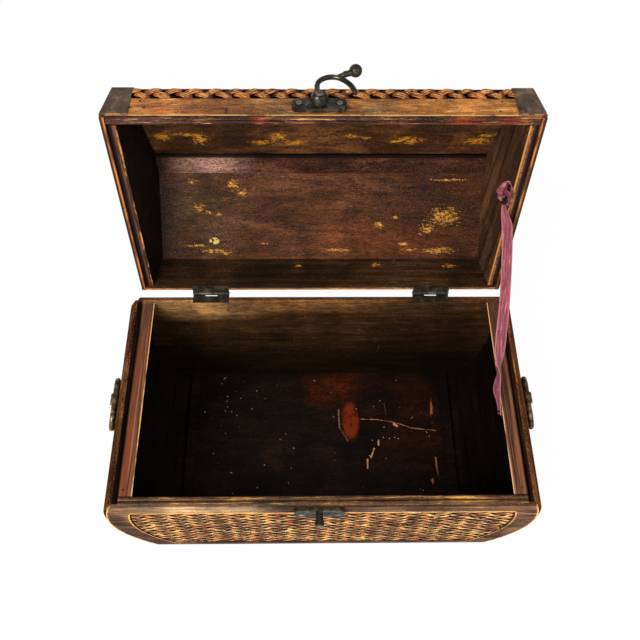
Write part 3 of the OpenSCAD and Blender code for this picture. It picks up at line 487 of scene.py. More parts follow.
wood("back wall wood", "back_wall", (34, 22, 11), (64, 41, 20), (90, 60, 32), (196, 136, 70), worn=0.03,
     rough=0.6, shine=0.1, grain=(14, 150, 150), marks=[scratches_and_shade], grit=0.6,
     # These zones are painted light: lighter patches along the wall's top, strongest at its upper left.
     zones=[((-105, 90, 138), (82, 60, 38), (228, 166, 104), 1.0),
            ((-20, 90, 140), (120, 60, 24), (206, 138, 78), 1.0),
            ((100, 90, 142), (120, 60, 18), (116, 74, 40), 0.7)])


def rim_tops(f):
    """The end boards are dark inside and reddish brown on their tops."""
    x, y, z = f.parts()
    radius = barrel_radius(f)[1]
    patch = f.noise((120, 26, 120), 5, 0.6)
    red = f.times(f.near(radius, 135, 3.2), f.band(patch, 0.40, 0.54))
    inner_edge = f.times(f.near(radius, INNER_R + 0.1, 1.0), f.band(patch, 0.36, 0.5))
    brown = f.ramp(f.noise((420, 11, 420), 7, 0.68, twist=0.8), (0.36, (46, 27, 18)), (0.47, (104, 66, 46)),
                   (0.56, (130, 84, 58)), (0.68, (176, 114, 74)))
    for amount, colour in ((f.times(red, f.band(x, -50, 50, 0.7, 0.2)), (138, 58, 22)),
                           (f.band(y, -20, 90, 0.0, 0.5), (62, 40, 30)),
                           (f.band(x, 20, 100, 0.0, 0.25), (58, 38, 30)),
                           (inner_edge, (250, 186, 116)),
                           (f.times(f.near(radius, 137.8, 1.0), 0.9), (22, 13, 9))):
        brown = f.mix(amount, brown, colour)
    f.lay(f.band(z, RIM - 1.5, RIM - 0.3), brown)


wood("end board wood", "left_wall right_wall", (10, 6, 3), (20, 12, 6), (32, 20, 10), (90, 58, 32),
     grain=ALONG_Y, worn=0.01, clouds=0.7, rough=0.6, shine=0.1, marks=[rim_tops])
print("inside finished")

# %% [markdown]
# ## The floor panel
#
# The raised floor is a dark board, reddish where its stain has worn. It carries a pale crack toward
# the right, a worn reddish oval, a few chips, and specks of dust. The crack is a chain of straight
# pieces: for each, the shader works out the distance to the nearest point of that piece, and colours
# what is closer than half a millimetre.

# %% Floor wood with its crack
FLOOR_Z = 13
WANDER = 2.4                 # how far noise moves the edge of a crack or a chip
CRACK = [(39.8, 31.7), (56.0, 31.1), (69.7, 28.6), (79.0, 26.2), (91.1, 21.7), (113.7, 19.0)]
FAINT_LINES = [((64.0, 56.0), (66.5, 30.0), 0.1, 0.4), ((18.5, 42.0), (19.0, 23.0), 0.9, 0.5),
               ((19.0, 23.0), (27.0, 8.0), 0.3, 0.5)]
CHIPS = [((52.4, 0), (49.0, -9.0), 0.9), ((45.5, -11.0), (45.2, -20.0), 0.9),
         ((56.8, 4.0), (57.2, 9.0), 0.9), ((73.5, 26.2), (76.0, 24.0), 1.5)]


def stroke(f, a, b, width, wobble):
    """1 within the width of the straight line from a to b on the floor."""
    way = np.array([*b, 0.0]) - np.array([*a, 0.0])
    start = f.vector("SUBTRACT", f.vector("MULTIPLY", f.place, (1, 1, 0)), (*a, 0))
    along = f.vector("DOT_PRODUCT", start, tuple(way), out="Value")
    share = f.math("DIVIDE", along, float(way @ way), clamp=True)
    on_line = f.node("ShaderNodeVectorMath", {0: tuple(way), 3: share}, operation="SCALE").outputs[0]
    gap = f.length(f.vector("SUBTRACT", start, on_line))
    return f.band(f.add(gap, wobble, WANDER), WANDER / 2 + width, WANDER / 2 + width * 0.5)


def floor_spot(f, x, y, reach_x, reach_y, up=50):
    return f.spot((x, y, FLOOR_Z), (reach_x, reach_y, up))


def floor_marks(f):
    """The oval, the crack with its faint side lines, the chips, the worn right edge and the dust."""
    wobble = f.noise(260, 4, 0.7)
    patch = f.noise((70, 40, 70), 6, 0.72)
    oval = f.band(floor_spot(f, 30, 30, 11.5, 26), 0.0, 0.4)
    f.lay(f.times(oval, f.band(patch, 0.36, 0.5)), (128, 44, 14))
    lines = [stroke(f, a, b, 0.4, wobble) for a, b in zip(CRACK, CRACK[1:])]
    lines += [f.times(stroke(f, a, b, width, wobble), share) for a, b, width, share in FAINT_LINES]
    f.lay(f.times(f.largest(*lines), 0.8), (206, 138, 96))
    f.lay(f.largest(*[stroke(f, *chip, wobble) for chip in CHIPS]), (222, 152, 112))
    side = f.largest(floor_spot(f, 112, -20, 3.5, 22), floor_spot(f, 106, -34, 5, 9),
                     floor_spot(f, 112, 42, 4.5, 30))
    f.lay(f.band(f.add(f.noise((240, 70, 240), 6, 0.75), side, 0.32), 0.74, 0.82), (196, 116, 70))
    cells = f.node("ShaderNodeTexVoronoi", {"Vector": f.stretch((230, 230, 0.001)), "Scale": 1.0})
    often = f.largest(floor_spot(f, -75, 52, 60, 50, 100), floor_spot(f, 70, 30, 50, 80, 100))
    some = f.band(f.add(f.noise((90, 90, 0.001), 1), often, 0.16), 0.6, 0.63)
    f.lay(f.times(f.band(cells.outputs["Distance"], 0.12, 0.07), some), (232, 224, 212))


wood("floor wood", "floor_panel", (13, 7, 4), (27, 15, 8), (42, 25, 14), (84, 44, 20), worn=-0.1,
     clouds=0.6, rough=0.55, shine=0.1, marks=[floor_marks], grain=(30, 90, 90),
     zones=[((20, 70, FLOOR_Z), (50, 30, 50), (92, 34, 11), 1.0),
            ((-4, 56, FLOOR_Z), (16, 14, 50), (84, 32, 12), 1.0),
            ((90, 30, FLOOR_Z), (60, 80, 50), (56, 24, 11), 0.9),
            ((-45, -10, FLOOR_Z), (40, 30, 50), (52, 34, 17), 0.8),
            ((0, -5, FLOOR_Z), (22, 15, 50), (60, 36, 17), 0.8)])
print("floor finished")

# %% [markdown]
# ## Inside the lid
#
# The sloping boards are brown, redder toward the right, with clusters of golden flecks where the stain
# has flaked off. The flecks are a fine noise cut at a threshold, allowed only inside soft patches. The
# rims of the lid's ends face the viewer, so their grooves and worn lines are drawn by the distance in
# from the outer face. The batten under the ridge hides the joint of the two slopes.

# %% Lid boards with golden flecks
FRONT_FLECKS = [(-130, 167, 265, 14, 13), (-100, 168, 262, 13, 16), (-112, 166, 269, 26, 6),
                (-50, 169, 257, 20, 7), (-22, 169, 257, 19, 8), (-36, 166, 265, 14, 12),
                (24, 167, 267, 12, 7), (36, 168, 264, 8, 6), (70, 168, 261, 26, 12), (60, 168, 259, 12, 6),
                (128, 169, 260, 22, 11), (135, 167, 268, 14, 6)]
BACK_FLECKS = [(-113, 168, 211, 10, 4), (-77, 167, 209, 10, 9), (-70, 163, 202, 9, 8),
               (-108, 156, 190, 10, 8), (-101, 154, 186, 8, 4), (-92, 153, 184, 5, 3),
               (-112, 139, 157, 18, 3), (-98, 137, 152, 26, 4), (-88, 136, 150, 14, 4),
               (-50, 140, 159, 9, 2), (14, 137, 153, 22, 3), (82, 137, 153, 14, 3),
               (110, 152, 182, 26, 17), (96, 146, 172, 14, 10), (52, 148, 175, 9, 5), (68, 152, 182, 8, 4),
               (108, 137, 152, 26, 6), (112, 168, 213, 26, 2.5), (76, 140, 158, 12, 4)]
RAIL_FLECKS = [(50, 125, 146, 10, 5), (-20, 124, 146, 8, 3), (118, 124, 146, 12, 4)]


def flaked(spots, gold=(222, 148, 44)):
    """A mark of golden flecks inside soft patches (x, y, z, reach across, reach up)."""
    def mark(f):
        fine = f.noise((264, 561, 561), 7, 0.82, twist=0.3)
        tone = f.noise((900, 1600, 1600), 3, 0.7)
        where = f.largest(*[f.spot((x, y, z), (across, high, high)) for x, y, z, across, high in spots])
        shades = f.ramp(tone, (0.36, shade(gold, 0.55)), (0.52, gold), (0.7, shade(gold, 1.15, 255)))
        f.lay(f.times(f.band(f.add(fine, where, 0.17), 0.61, 0.69), f.band(where, 0.02, 0.2)), shades)
    return mark


def olive_chip(f):
    """One pale olive chip in the back slope."""
    chip = f.band(f.spot((-96.8, 141, 161.2), (6.8, 5, 5.2)), 0.1, 0.5)
    f.lay(f.times(chip, f.band(f.noise(380), 0.42, 0.52)), (206, 176, 98))


wood("lid front slope wood", "lid_front_slope", (52, 31, 18), (104, 63, 36), (138, 88, 52), (196, 130, 52),
     worn=0.05, clouds=0.6, shine=0.12, marks=[flaked(FRONT_FLECKS)], grit=0.6, grain=(30, 150, 150),
     zones=[((-72, 168, 262), (22, 30, 30), (40, 35, 30), 1.0),
            ((80, 168, 262), (70, 30, 30), (112, 64, 30), 0.9)])
wood("lid back slope wood", "lid_back_slope", (44, 23, 11), (90, 49, 23), (120, 69, 35), (190, 110, 46),
     worn=0.05, clouds=0.45, shine=0.12, marks=[flaked(BACK_FLECKS, (224, 156, 60)), olive_chip], grit=0.6,
     grain=(26, 150, 150),
     zones=[((-110, 152, 185), (75, 60, 60), (84, 60, 32), 0.9),
            ((60, 140, 163), (100, 30, 24), (138, 68, 30), 0.8),
            ((-140, 150, 180), (22, 60, 80), (28, 22, 15), 1.0),
            ((105, 155, 190), (80, 60, 70), (56, 31, 15), 1.0)])
wood("lid back wall wood", "lid_back_wall", (30, 20, 11), (62, 42, 24), (86, 62, 36), (170, 120, 56),
     worn=0.04, clouds=0.6, grit=0.6, shine=0.12, marks=[flaked(RAIL_FLECKS)])
wood("lid inner wood", "lid_front_wall", (26, 18, 12), (50, 36, 24), (72, 52, 34), (170, 112, 54), worn=0.04,
     clouds=0.6)
print("lid boards finished")


# %% The lid's ends and its batten
def lid_rim_place(f):
    """For the rim of the open lid, which faces the viewer: the distance from the middle, the distance in
    from the outer face of the end, and 1 on the rim itself."""
    x = f.parts()[0]
    return x, f.math("SUBTRACT", LID_HALF, f.math("ABSOLUTE", x)), f.band(f.lid_height(), 0.6, 0.3)


def lid_rims(f):
    """On the end boards' rim: a dark groove, a brown bead, a worn golden edge."""
    x, inward, on_rim = lid_rim_place(f)
    patch = f.noise((300, 300, 26), 5, 0.7)
    grit = f.noise((700, 700, 260), 4, 0.75)
    gilt = f.add(patch, f.band(x, 0, 100, 0.0, 0.08))
    rubbed = f.times(f.band(inward, 7.4, 8.6), f.band(x, 0, 100))
    rim = f.mix(f.band(inward, 6.6, 7.4), (12, 8, 6), (60, 36, 26))
    rim = f.mix(f.times(f.near(inward, 8.6, 0.9), f.band(patch, 0.4, 0.55)), rim, (124, 74, 52))
    rim = f.mix(f.times(f.near(inward, 10.5, 1.4), f.band(gilt, 0.47, 0.6)), rim, (208, 140, 66))
    rim = f.mix(f.times(rubbed, f.band(grit, 0.46, 0.60, 0.0, 0.75)), rim, (176, 112, 58))
    f.lay(on_rim, rim)


# The two end boards are lit and shaded copies of one wood: the left is painted dark as painted shade, the
# right lighter as painted light, where light falls inside the lid.
wood("lid left end wood in painted shade", "lid_left_end", (10, 7, 5), (20, 14, 10), (32, 23, 16), (70, 46, 28),
     grain=ALONG_Z, worn=0.02, shine=0.1, marks=[lid_rims])
wood("lid right end wood in painted light", "lid_right_end", (34, 22, 14), (84, 56, 36), (122, 86, 58), (200, 124, 60),
     grain=ALONG_Z, worn=0.07, clouds=0.45, marks=[lid_rims], grit=0.6, shine=0.15)
batten_top = max(v.co.z for v in nodes["ridge_batten"].data.vertices) / mm


def batten_joint_shade(f):
    """Painted shade: the shadow in the open joint between the batten and the front slope, as a dark line."""
    f.lay(f.band(f.parts()[2], batten_top - 4.0, batten_top - 2.2, 0.0, 0.95), (8, 5, 4))


wood("batten wood", "ridge_batten", (34, 19, 13), (64, 36, 25), (96, 58, 40), (170, 84, 46), worn=0.08,
     clouds=0.35, grain=(50, 170, 170), grit=0.9, shine=0.12, marks=[batten_joint_shade],
     zones=[((-100, 170, 232), (50, 40, 40), (232, 172, 148), 1.0),
            ((-142, 170, 232), (22, 40, 40), (44, 28, 24), 1.0),
            ((-45, 170, 225), (26, 40, 14), (132, 76, 56), 0.5),
            ((100, 170, 232), (90, 40, 30), (88, 50, 36), 0.8)])
print("lid's inside finished")

# %% [markdown]
# ## The boards on the lid's front, its end frames and the beads
#
# The face board is the warmest wood of all, honey-coloured under brown streaks. The beads along the
# front rims were painted dark and are worn to gold and red along their crests.

# %% Face boards, lid frames and beads
def board_marks(f):
    """A dark knot, and a golden line where the board meets the beads."""
    f.lay(f.band(f.spot((-70.5, 130, 331.8), (2.2, 6, 6)), 0.1, 0.6, 0.0, 0.85), (30, 20, 16))
    patch = f.noise((70, 260, 260), 4, 0.7)
    f.lay(f.times(f.near(f.lid_height(), 3.0, 1.0), f.band(patch, 0.38, 0.5)), (240, 190, 110))


wood("face board wood", "lid_front_board lid_back_board", (92, 50, 24), (190, 112, 54), (236, 154, 82),
     (255, 196, 108), worn=0.15, rough=0.42, grain=(16, 130, 130), marks=[board_marks],
     zones=[((95, 125, 331), (85, 50, 50), (250, 158, 70), 1.0),
            ((-110, 125, 331), (55, 50, 50), (214, 124, 62), 0.7),
            ((-30, 122, 331), (26, 50, 50), (140, 100, 64), 0.8),
            ((40, 130, 331), (20, 20, 50), (140, 104, 74), 0.7)])


def lid_frame_lines(f):
    """On the end frames' rim: an orange line between dark strips."""
    inward, on_rim = lid_rim_place(f)[1:]
    rim = f.mix(f.near(inward, 2.6, 1.3), (64, 36, 24), (206, 124, 56))
    patch = f.noise((200, 200, 16), 5, 0.7)
    f.lay(on_rim, f.mix(f.band(patch, 0.40, 0.54, 0.85, 0.0), rim, (58, 34, 22)))


wood("lid frame wood", "lid_left_frame lid_right_frame", (44, 28, 20), (92, 60, 40), (140, 90, 54),
     (224, 140, 64), grain=ALONG_Z, worn=0.13, shine=0.1, marks=[lid_frame_lines])


def bead_rub(f):
    """The crests of the beads on the body's rim."""
    return f.band(f.parts()[2], RIM - 0.8, RIM + 0.2, 0.0, 0.25)


wood("lid bead wood", "lid_rim_beads", (34, 20, 15), (74, 44, 33), (120, 74, 54), (236, 170, 96), worn=0.18,
     clouds=0.45, grain=(16, 420, 420), rough=0.38, shine=0.12, grit=0.6,
     zones=[((-46, 100, 330), (12, 300, 300), (150, 62, 36), 0.7),
            ((104, 100, 330), (20, 300, 300), (176, 72, 38), 0.75),
            ((136, 100, 330), (18, 300, 300), (164, 74, 42), 0.65),
            ((-125, 100, 330), (30, 300, 300), (104, 60, 52), 0.8)])
wood("body bead wood", "front_rim_beads", (36, 22, 12), (82, 52, 28), (128, 84, 46), (232, 168, 82),
     worn=0.12, grain=(14, 420, 420), rough=0.38, rub=bead_rub, grit=0.6,
     zones=[((20, -95, 136), (60, 20, 20), (150, 96, 46), 0.8)])
print("face boards and beads finished")

# %% [markdown]
# ## Metal
#
# The latch is cast and has gone almost black with a green cast. The ring handles are brass under
# brown tarnish, brighter where the ring rubs. The corner caps are thin dark metal or hide.

# %% Bronze, brass and caps
PIVOT = (-3.3, 132.98, 329.28)
lid_front_out = tuple(lid_way([0, -1, 0]).tolist())


def ring_marks(centre, light, dark):
    """A round rivet or screw on the lid's face, as a light ring within a dark one."""
    def mark(f):
        radius = f.length(f.vector("CROSS_PRODUCT", f.from_point(centre), lid_front_out))
        f.lay(f.times(f.near(radius, dark, 0.9), 0.85), (10, 9, 8))
        f.lay(f.times(f.near(radius, light, 0.7), 0.8), (150, 132, 108))
    return mark


def metal(name, on, dark, middle, bright, rough=0.34, metallic=0.6, size=140, marks=(), shine=0.5):
    """Tarnish in cloudy patches, with brighter flecks where the noise is high, and marks over it."""
    f = Finish(name, rough, Metallic=metallic, Specular_IOR_Level=shine)
    cloud = f.noise(size, 5, 0.65, twist=0.5)
    fine = f.noise(size * 8, 3, 0.6)
    f.colour = f.ramp(cloud, (0.34, dark), (0.52, middle), (0.74, bright))
    f.lay(f.band(fine, 0.6, 0.72, 0.0, 0.6), bright)
    for mark in marks:
        mark(f)
    return finish(f.done(f.add(cloud, fine, 0.35), 0.3, 0.4,
                         f.band(cloud, 0.35, 0.7, rough + 0.12, rough - 0.12)), on)


screw_marks = []
for side in (-1, 1):
    heads = np.array([v.co for v in nodes["latch_screws"].data.vertices]) / mm
    heads = heads[(heads[:, 0] - PIVOT[0]) * side > 0]
    screw_marks.append(ring_marks(tuple(((heads.min(0) + heads.max(0)) / 2).tolist()), 1.6, 3.0))
bronze = metal("bronze", "strike_post ribbon_lid_tacks ribbon_body_tack", (19, 17, 12), (42, 37, 28),
               (112, 100, 78))
metal("strike bronze", "strike_plate", (16, 13, 7), (38, 32, 21), (96, 82, 56), 0.5, 0.0, shine=0.15)
metal("hook bronze", "latch_hook", (24, 21, 17), (50, 45, 38), (124, 112, 94),
      marks=[ring_marks(PIVOT, 3.0, 4.3)])
metal("plate bronze", "latch_plate", (26, 24, 20), (58, 54, 46), (132, 124, 106), marks=screw_marks)
metal("rubbed heads", "latch_screws latch_rivet strike_screws", (52, 47, 40), (104, 94, 80), (176, 162, 140),
      0.36, marks=screw_marks)
metal("hinge metal", "hinge_body_leaves hinge_lid_leaves hinge_pins hinge_body_screws hinge_lid_screws",
      (28, 24, 20), (60, 52, 44), (132, 118, 100), 0.42)
metal("brass", "left_handle_ring right_handle_ring left_handle_strap right_handle_strap", (34, 27, 18),
      (88, 72, 50), (196, 172, 130), 0.32, 0.75, size=220)


def cap_finish():
    """Dark hide over the corners: fine creases, rusty patches, and gold where it meets the beads."""
    f = Finish("cap", 0.5, Metallic=0.15)
    cloud = f.noise(70, 5, 0.6, twist=0.6)
    fine = f.noise(900, 4, 0.6)
    rust = f.noise(240, 4, 0.7)
    f.colour = f.ramp(cloud, (0.32, (42, 32, 25)), (0.52, (84, 66, 51)), (0.72, (138, 108, 80)))
    f.lay(f.band(rust, 0.56, 0.66, 0.0, 0.8), (92, 46, 24))
    f.lay(f.times(f.near(f.lid_height(), 3.1, 1.6), f.band(rust, 0.62, 0.44)), (206, 142, 66))
    f.lay(f.band(fine, 0.55, 0.75, 0.0, 0.4), (120, 100, 84))
    return f.done(f.add(cloud, fine, 0.3), 0.25, 0.4)


finish(cap_finish(), "front_left_cap front_right_cap back_left_cap back_right_cap")
print("metal finished")

# %% [markdown]
# ## Straw
#
# The panels are woven, and the eaves plaited, from flat strips of several straws each, dyed from
# straw yellow to red-brown. The mesh carries numbers for the material to read: where a point lies
# across its strip, how far along it, and the strip's own number, which picks its colour; then how high
# the point lies, and how near it is to the gap between four strips. From the last two the material
# paints light and shade: a painted highlight on a strip's top, and painted shade where it lies low and
# near the gaps. Both sides of a leaning strip get painted shade too, the upper side most, as the
# painted shadow where it turns under its neighbour.

# %% The straw finish
PITCH = 8.2                  # from one strip to the next
# The darkest painted shade, for the low places of a strip and the gaps between strips.
DEEP_SHADE = (9, 5, 3)


def straw(name, colours, straws, cell, ribs, under=0.0, pale=(255, 214, 134)):
    """Colour by strip and by the stretch of it that is seen, and fine lines along it; then a painted
    highlight on its top, and painted shade where it lies low, on the sides where it turns under, and at a
    gap."""
    f = Finish(name, 0.45, Specular_IOR_Level=0.05)
    across, along, number = f.carried("strip")
    high, corner = f.carried("depth")[:2]
    stretch = f.math("FLOOR", f.add(f.times(number, 0.5), along, 1 / cell))
    pair = {"Vector": f.join(stretch, number)}
    own = f.node("ShaderNodeTexWhiteNoise", pair, noise_dimensions="2D").outputs["Value"]
    f.colour = f.ramp(f.add(f.times(f.noise(28, 3, 0.6), 0.4), own, 0.6), *colours)
    own_place = f.join(f.times(across, straws), f.times(along, 0.09), f.times(own, 31.0))
    lines = f.noise(1.7, 4, 0.65, at=own_place)
    rib = f.math("ABSOLUTE", f.math("COSINE", f.times(across, straws * math.pi / 2)))
    # This mask paints a pale highlight on the tops of the strips: a painted highlight.
    crest_highlight = f.times(f.band(high, 0.80, 0.92), f.band(lines, 0.42, 0.58))
    # Painted light below: the dark marks by height, along the strip's sides and near the gaps are painted
    # shade, and the pale one is a painted highlight.
    for amount, colour in ((f.band(lines, 0.36, 0.5, 0.8, 0.0), (58, 28, 16)),
                           (f.times(crest_highlight, 0.85), pale),
                           (f.band(rib, 0.4, 0.0, 0.0, ribs), (30, 15, 9)),
                           (f.band(high, 0.62, 0.49), (46, 20, 10)),
                           (f.band(high, 0.54, 0.40), DEEP_SHADE),
                           (f.band(across, -0.55, -0.95, 0.0, under * 0.8), (50, 20, 9)),
                           (f.band(across, 0.15, 0.75, 0.0, under), (44, 17, 8)),
                           (f.band(corner, 0.36, 0.54, 0.0, 0.85), (46, 19, 9)),
                           (f.band(corner, 0.46, 0.60), DEEP_SHADE)):
        f.lay(amount, colour)
    return f.done(f.add(rib, lines), 0.6, 0.5)


def groove_top(f):
    """The ground of the body's end panels shows in the rim, as brown as the boards beside it."""
    z, radius = barrel_radius(f)
    streak = f.noise((420, 14, 420), 6, 0.68, twist=0.8)
    brown = f.ramp(streak, (0.38, (24, 15, 11)), (0.5, (72, 46, 32)), (0.64, (112, 72, 46)))
    f.lay(f.times(f.band(z, RIM - 6, RIM - 3), f.band(radius, 138.4, 139.2)), brown)


def dark_wood(name, **more):
    return wood(name, "", (9, 6, 4), (18, 11, 7), (26, 16, 10), (40, 26, 16), worn=0.0, clouds=0.55,
                rough=0.8, shine=0.05, **more)


# under sets the painted shade on the sides of the panels' strips, and pale is the colour of the painted
# highlight.
panel_straw = straw("panel straw", [(0.22, (60, 24, 14)), (0.36, (114, 50, 24)), (0.48, (176, 80, 30)),
                                    (0.62, (214, 122, 52)), (0.8, (255, 204, 114))],
                    straws=2.2, cell=2 * PITCH, ribs=0.4, under=0.95)
braid_straw = straw("braid straw", [(0.25, (82, 38, 20)), (0.5, (152, 80, 40)), (0.75, (212, 124, 62))],
                    straws=2, cell=22.0, ribs=0.95, pale=(250, 184, 112))
backing = dark_wood("dark backing")
end_backing = dark_wood("end backing", marks=[groove_top])
print("straw ready")

# %% [markdown]
# ## Weaving a panel
#
# The panels are plain weave laid on the slant: two families of strips cross, each over one and under
# one. Seen upright, rows of strips that lean right alternate with rows that lean left.
#
# A real weave could be built strip by strip, but the chest has thousands of crossings. Instead the
# panel is one height field. Across a strip the height is a low arch, along it a cosine that dips
# under the other family at every second crossing, and the surface is the higher of the two
# families. The grid runs along both families, with more lines near the strips' edges, so that every
# gap falls on a grid line and stays sharp. Behind the sheet stands a copy of the CAD model's own panel
# with its face sunk, so that a gap shows dark wood. A small function then lays the flat sheet on each
# face: leaning for the front and back, round the barrel for the ends, folded over the ridge for the roof.

# %% The weave's height field
SLANT, STRIP = math.radians(30), 6.5
STEPS = np.array([0, 0.07, 0.115, 0.22, 0.36, 0.5, 0.64, 0.78, 0.885, 0.93])
ARCH, RISE, DROP = 0.6, 0.5, 1.9             # of a strip's arch, of its weaving, and beside its edge
LIFT = 0.12                                  # by which crossings differ in height by chance
EDGE_DIP, EDGE_REACH = 1.5, 2.4              # the sheet's dip near the window's edge
TUCKED = 0.9                                 # how far it runs on under the frame
DEEPEST, HIGHEST = -1.1, 0.7
SECOND_FAMILY = 502                          # tells the second family's strips from the first's


def strip_height(across, along, number):
    """An arch across the strip and a cosine along it, in millimetres, deep outside the strip."""
    t = across / (STRIP / 2)
    arch = ARCH * (np.sqrt(np.clip(1 - t * t, 0, 1)) - 1) - DROP * (np.abs(t) > 1)
    return arch + 0.2 + RISE * np.cos(np.pi * along / PITCH) * np.where(number % 2 == 0, 1, -1)


def weave(width, height, inside, lay, seed):
    """The woven sheet over a width by height area. inside gives the distance of (u, v) from the window's
    edge, positive within it, and lay turns (u, v, h) into points. Each crossing is lifted a little by
    chance, the strips sway, and the sheet dips near its edge. Returns points, faces, and the strip and
    depth numbers of the faces' corners."""
    sin, cos = math.sin(SLANT), math.cos(SLANT)
    count = int(math.ceil(((width * sin + height * cos) / 2 + PITCH) / PITCH))
    lines = ((np.arange(-count, count)[:, None] + STEPS[None, :]) * PITCH).ravel() - PITCH / 2
    a, b = np.meshgrid(lines, lines, indexing="ij")
    number_a, number_b = np.round(a / PITCH), np.round(b / PITCH)
    across_a, across_b = a - number_a * PITCH, b - number_b * PITCH
    high_a = strip_height(across_a, b, number_a)
    high_b = strip_height(across_b, a, number_b + 1)
    rng = np.random.default_rng(seed)
    lift = rng.normal(0, LIFT, (2, 2 * count + 3, 2 * count + 3))
    row, col = (number_a + count).astype(int), (number_b + count).astype(int)
    top = np.maximum(high_a + lift[0][row, col], high_b + lift[1][row, col])
    wave = rng.uniform(0, 2 * math.pi, 2)
    sway = [0.8 * np.sin(a / p + w) * np.sin(b / q + w) + 0.45 * np.sin(a / r + 2 * w) * np.sin(b / r - w)
            for p, q, r, w in ((17, 23, 3.7, wave[0]), (21, 15, 4.3, wave[1]))]
    u, v = (b - a) / (2 * sin) + sway[0], (a + b) / (2 * cos) + sway[1]
    edge = inside(u, v)
    top = np.clip(top - EDGE_DIP * np.clip(1 - (edge + 0.2) / EDGE_REACH, 0, 1), DEEPEST, HIGHEST)
    faces = grid(*a.shape)
    faces = faces[edge.ravel()[faces].mean(1) > -TUCKED]
    first = (high_a - high_b).ravel()[faces].mean(1) > 0
    of_a = np.stack([across_a / (STRIP / 2), b, number_a + 1], -1).reshape(-1, 3)
    of_b = np.stack([across_b / (STRIP / 2), a, number_b + SECOND_FAMILY], -1).reshape(-1, 3)
    strip = np.where(first[:, None, None], of_a[faces], of_b[faces])
    strip[:, :, 2] = strip[:, :1, 2]
    high = np.clip((top.ravel()[faces] - DEEPEST) / (HIGHEST - DEEPEST), 0, 1)
    corner = (np.minimum(np.abs(across_a), np.abs(across_b)) / (PITCH / 2)).ravel()[faces]
    used, place = np.unique(faces, return_inverse=True)
    points = lay(u.ravel()[used], v.ravel()[used], top.ravel()[used])
    return points, place.reshape(faces.shape), strip, np.stack([high, corner, 0 * high], -1)


def woven_panel(name, body, sheet, distance, normal_of, flip=False, behind=backing):
    """The woven sheet as one piece, and behind it the node's own solid with its face sunk."""
    points, faces, strip, depth = sheet
    if flip:
        faces, strip, depth = faces[:, ::-1], strip[:, ::-1], depth[:, ::-1]
    node = name + "_weave"
    sheet = make_piece(name + "_panel", points, faces, panel_straw, strip=strip, depth=depth)
    ground = make_piece(name + "_panel_ground", *lowered(node, distance, normal_of), behind, smooth=False)
    for piece in (sheet, ground):
        fit(piece, body, node)
    print(name, "panel has", 2 * len(faces), "triangles")


print("strips cross every", round(PITCH / math.sin(SLANT), 1), "mm along a row")

# %% Front and back panels
FACE_MIDDLE = 60             # height of the middle of the front and back panels


def lay_face(side, lean, half):
    """A function from (u, v, h) to points: v runs up the leaning face from the panel's middle, h out from
    the weave's own face. side is -1 for the front, and half the body's half depth at the rim."""
    foot = half - FACE_SINK / math.cos(lean) - (RIM - FACE_MIDDLE) * math.tan(lean)

    def lay(u, v, h):
        y = foot + v * math.sin(lean) + h * math.cos(lean)
        return np.stack([u, side * y, FACE_MIDDLE + v * math.cos(lean) - h * math.sin(lean)], -1)
    return lay


def in_face_window(u, v):
    """Distance inside the barrel-shaped window of the front and back."""
    z = FACE_MIDDLE + v
    round_part = WINDOW_R - np.hypot(np.abs(u) - SWELL_X, z - SWELL_Z)
    return np.minimum(round_part, np.minimum(z - WINDOW_LOW, (WINDOW_TOP + 1.2) - z))


for name, side, lean, half, seed in (("front", -1, FRONT_LEAN, DEPTH / 2 + FRONT_MORE, 1),
                                     ("back", 1, BACK_LEAN, DEPTH / 2, 2)):
    lay = lay_face(side, lean, half)
    middle, out = lay(0, 0, 0), np.array([0, side * math.cos(lean), -math.sin(lean)])
    woven_panel(name, "chest", weave(330, 122, in_face_window, lay, seed), lambda p: (p - middle) @ out,
                lambda p: out, flip=side > 0)

# %% Panels in the barrel-shaped ends
END_R = OUTER_R - FACE_SINK
END_HALF = DEPTH / 2 - FRAME_T - END_RAIL - (RIM - SWELL_Z) * math.tan(BACK_LEAN)
END_LOW, END_HIGH, END_ROUND = END_RAIL, RIM - END_RAIL, 14.0


def in_end_window(u, v):
    """Distance inside a rectangle with rounded corners, where v is the arc from the widest line."""
    z = SWELL_Z + END_R * np.sin(v / END_R)
    dy = np.abs(u) - (END_HALF - END_ROUND)
    dz = np.abs(z - (END_LOW + END_HIGH) / 2) - ((END_HIGH - END_LOW) / 2 - END_ROUND)
    corner = np.hypot(np.maximum(dy, 0), np.maximum(dz, 0))
    return END_ROUND - corner - np.minimum(np.maximum(dy, dz), 0)


def lay_end(side):
    """A function from (u, v, h) to points on the barrel's circle, at the arc v, h further out."""
    def lay(u, v, h):
        x = SWELL_X + (END_R + h) * np.cos(v / END_R)
        return np.stack([side * x, u, SWELL_Z + (END_R + h) * np.sin(v / END_R)], -1)
    return lay


def end_distance(points):
    return np.hypot(np.abs(points[:, 0]) - SWELL_X, points[:, 2] - SWELL_Z) - END_R


def end_normal(points):
    x, y, z = points.T
    away = np.stack([np.abs(x) - SWELL_X, 0 * x, z - SWELL_Z], -1)
    away /= np.linalg.norm(away, axis=1, keepdims=True)
    return away * np.stack([np.sign(x), 0 * x + 1, 0 * x + 1], -1)


for side, name in ((-1, "left"), (1, "right")):
    woven_panel(name, "chest", weave(150, 150, in_end_window, lay_end(side), 3 + side), end_distance,
                end_normal, flip=side < 0, behind=end_backing)

# %% Panels of the lid
LID_WINDOW_IN = 12.0         # width of the rails of the lid's end frames
LID_MIDDLE = 35              # height of the middle of the lid's end panels over the rim
END_COS, END_SIN = math.cos(END_LEAN), math.sin(END_LEAN)


